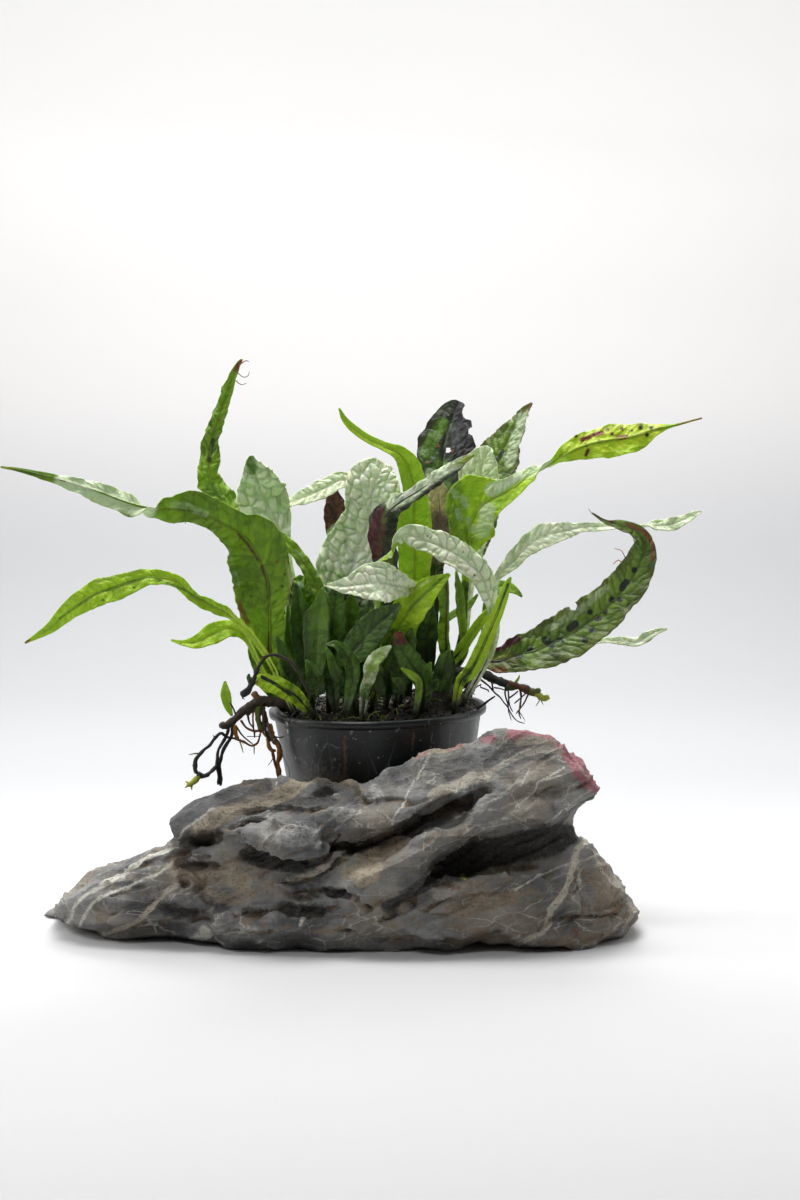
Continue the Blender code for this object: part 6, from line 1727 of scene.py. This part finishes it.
thinDiagonal = {
    "root": (18, 9), "fold": 0.10, "cells": (2.6, 0.15),
    "route": [(432, 650, 7, 2.5, 0), (440, 627, 8, 3, 0), (452, 615, 8, 3.5, 0), (467, 607, 8, 3.5, 0),
              (478, 594, 8, 1.0, 0)],
}
makeFrond("fern_thin_diagonal", "frond_thin_diagonal", leafFinishes["green"], thinDiagonal)

curledGreen = {
    "root": (-3, -14), "fold": -0.12, "cells": (3.2, 0.3),
    "strokes": [("deepGreen", 10.0, 0.6, [(388, 652), (392, 636)]), ("green", 2.0, 0.6, [(394, 634), (411, 608), (440, 580)]),
                ("straw", 2.0, 0.4, [(402, 598), (420, 586), (438, 575)])],
    "route": [
        (386, 655, -18, 7, 0), (396, 630, -20, 13, 0), (411, 608, -22, 16, 0), (428, 590, -22, 12, 0),
        (450, 574, -22, 1.2, 0)],
}
makeFrond("fern_curled_green", "frond_curled_green", leafFinishes["bright"], curledGreen)

forwardQuilted = {
    "root": (7, -11), "fold": -0.14, "cells": (3.6, 0.55), "ragged": 0.08, "slant": 0.4, "stretch": 1.1,
    "strokes": [("fresh", 3.0, 0.5, [(410, 612), (414, 596)]), ("rust", 1.6, 0.7, [(326, 585)]), ("rust", 1.2, 0.6, [(362, 595)]),
                ("paleGreen", 2.0, 0.5, [(400, 586), (380, 583), (350, 586)])],
    "route": [
        (402, 650, -13, 4, 0), (409, 615, -15, 5, 20), (414, 592, -18, 7, 30), (403, 587, -26, 10, 25),
        (392, 585, -32, 16, 8), (380, 583, -35, 19, 0), (365, 584, -38, 16, 0), (348, 586, -40, 8.5, 0),
        (335, 586, -40.5, 4, 0), (324, 585, -41, 0.8, 0)],
}
makeFrond("fern_forward_quilted", "frond_forward_quilted", leafFinishes["pale"], forwardQuilted)

sproutLeft = {
    "fold": 0.1, "cells": (2.2, 0.1),
    "route": [(232, 716, -19, 1.2, 0), (228, 706, -19, 4.0, 0), (225.5, 694, -19, 5, 0), (225, 681, -19, 1.0, 0)],
}
makeFrond("fern_sprout_left", "sprout_left", leafFinishes["bright"], sproutLeft)
# Small dark blades low in the crown, dark partly as their colour and partly as painted shade of the crown: (foot x, tip
# x, tip y in pixels, depth in mm, half width in pixels)
undergrowth = {
    "footLine": 700.0,
    "blades": [
        (298, 276, 636, -22, 7), (314, 322, 588, -18, 14), (332, 318, 616, -15, 9), (350, 372, 600, -20, 15),
        (346, 326, 648, -27, 6), (372, 392, 652, -23, 9), (398, 412, 628, -25, 13), (418, 431, 662, -27, 7),
        (438, 449, 650, -25, 9), (456, 467, 668, -21, 5), (382, 368, 656, -31, 8), (404, 392, 678, -33, 5),
        (322, 306, 660, -30, 8), (290, 280, 668, -24, 4), (430, 438, 680, -31, 5), (308, 296, 584, -8, 12),
        (346, 352, 592, -6, 16), (366, 358, 622, -4, 9), (390, 402, 596, -8, 14), (408, 408, 616, -4, 8),
        (424, 432, 604, -10, 11), (446, 452, 650, -12, 6), (300, 288, 604, 4, 10), (316, 310, 578, 12, 13),
        (352, 348, 586, 10, 15), (378, 388, 606, 14, 10), (398, 404, 590, 20, 14), (420, 426, 618, 18, 9),
        (438, 442, 652, 20, 7), (452, 457, 656, 14, 5), (334, 328, 608, 22, 9), (368, 376, 582, 24, 13),
        (364, 366, 588, 4, 13), (356, 360, 584, 18, 14), (384, 386, 590, -2, 12), (338, 340, 592, 2, 12),
    ],
}


def makeUndergrowth(look):
    blades = []
    for number, (footX, tipX, tipY, depth, half) in enumerate(look["blades"]):
        foot = look["footLine"] - 6.0 + 3.0 * math.sin(number * 2.1)
        drop = foot - tipY
        widest = 0.58 + 0.10 * math.sin(number * 1.3)
        strap = {
            "fold": -0.2, "cells": (3.4, 0.16), "ragged": 0.08, "step": 0.8, "wave": 1.2,
            "ruffle": (0.5, 10.0), "thickness": 0.5,
            "route": [
                (footX, foot, depth, 0.4 * half, 8.0 * math.sin(number)),
                (0.8 * footX + 0.2 * tipX, foot - 0.3 * drop, depth, 0.8 * half, 16.0 * math.sin(number * 1.7)),
                (0.5 * footX + 0.5 * tipX, foot - widest * drop, depth - 1.0, half, 22.0 * math.sin(number * 2.3)),
                (0.2 * footX + 0.8 * tipX, foot - 0.84 * drop, depth - 1.8, 0.55 * half, 12.0 * math.sin(number * 3.1)),
                (tipX, tipY, depth - 2.0, 0.9, 0.0)],
        }
        # the black-green at the foot is painted shade where the blade goes down into the crown
        strap["strokes"] = [("blackGreen", 2.0 * half, 0.5, [(footX, foot), (0.6 * footX + 0.4 * tipX, foot - 0.35 * drop)])]
        if number % 3 == 1:
            strap["strokes"].append(("green", 1.2 * half, 0.7, [(tipX, tipY), (tipX, tipY + 0.6 * drop)]))
        if number % 7 == 3:
            strap["strokes"].append(("fresh", 0.8 * half, 0.4, [(tipX, tipY + 0.2 * drop), (tipX, tipY + 0.5 * drop)]))
        blades.append(buildBlade("strap" + str(number), strap))
    pickOnly(*blades)
    bpy.ops.object.join()
    item = blades[0]
    item.data.materials.clear()
    item.data.materials.append(leafFinishes["deep"])
    keepPiece(item, "fern_undergrowth")
    print("undergrowth:", len(item.data.polygons), "faces")


makeUndergrowth(undergrowth)
# Loose hairs at the tips and under the blades, written as the roots are
looseHairs = {
    "lumps": 0.1, "lumpLength": 2.0, "wander": 0.1, "rough": 0.0, "sides": 6,
    "routes": [
        ("rust", 0.7, 0.4, [(240, 364, 20), (246, 360.5, 19), (249, 362, 18)]),
        ("olive", 0.6, 0.3, [(237, 372, 20), (243, 377, 18), (248, 376, 17), (249.5, 371, 17)]),
        ("rust", 0.6, 0.3, [(235, 380, 20), (241, 384.5, 18), (247, 383, 17)]),
        ("orange", 0.6, 0.4, [(627, 570, -9), (622, 563, -11), (618, 560, -12), (613, 564.5, -13)]),
        ("orange", 0.6, 0.3, [(629, 566, -9), (625, 557, -11), (621, 550.5, -12), (614, 548.5, -13)]),
        ("olive", 0.6, 0.3, [(171, 516, -24), (168, 520, -24.5), (165, 522, -25)]),
        ("olive", 0.6, 0.3, [(180, 518, -24), (177, 522, -24.5), (173, 524, -25)]),
        ("rust", 0.5, 0.3, [(187, 519, -23), (185, 524, -23.5)]),
        ("straw", 0.5, 0.3, [(592, 514, -4), (588, 508, -4)]),
        ("rust", 0.6, 0.4, [(531, 405, 23), (533, 403.5, 23)]),
    ],
}
makeRoots("fern_hairs", None, bark, looseHairs)
print("fronds made")
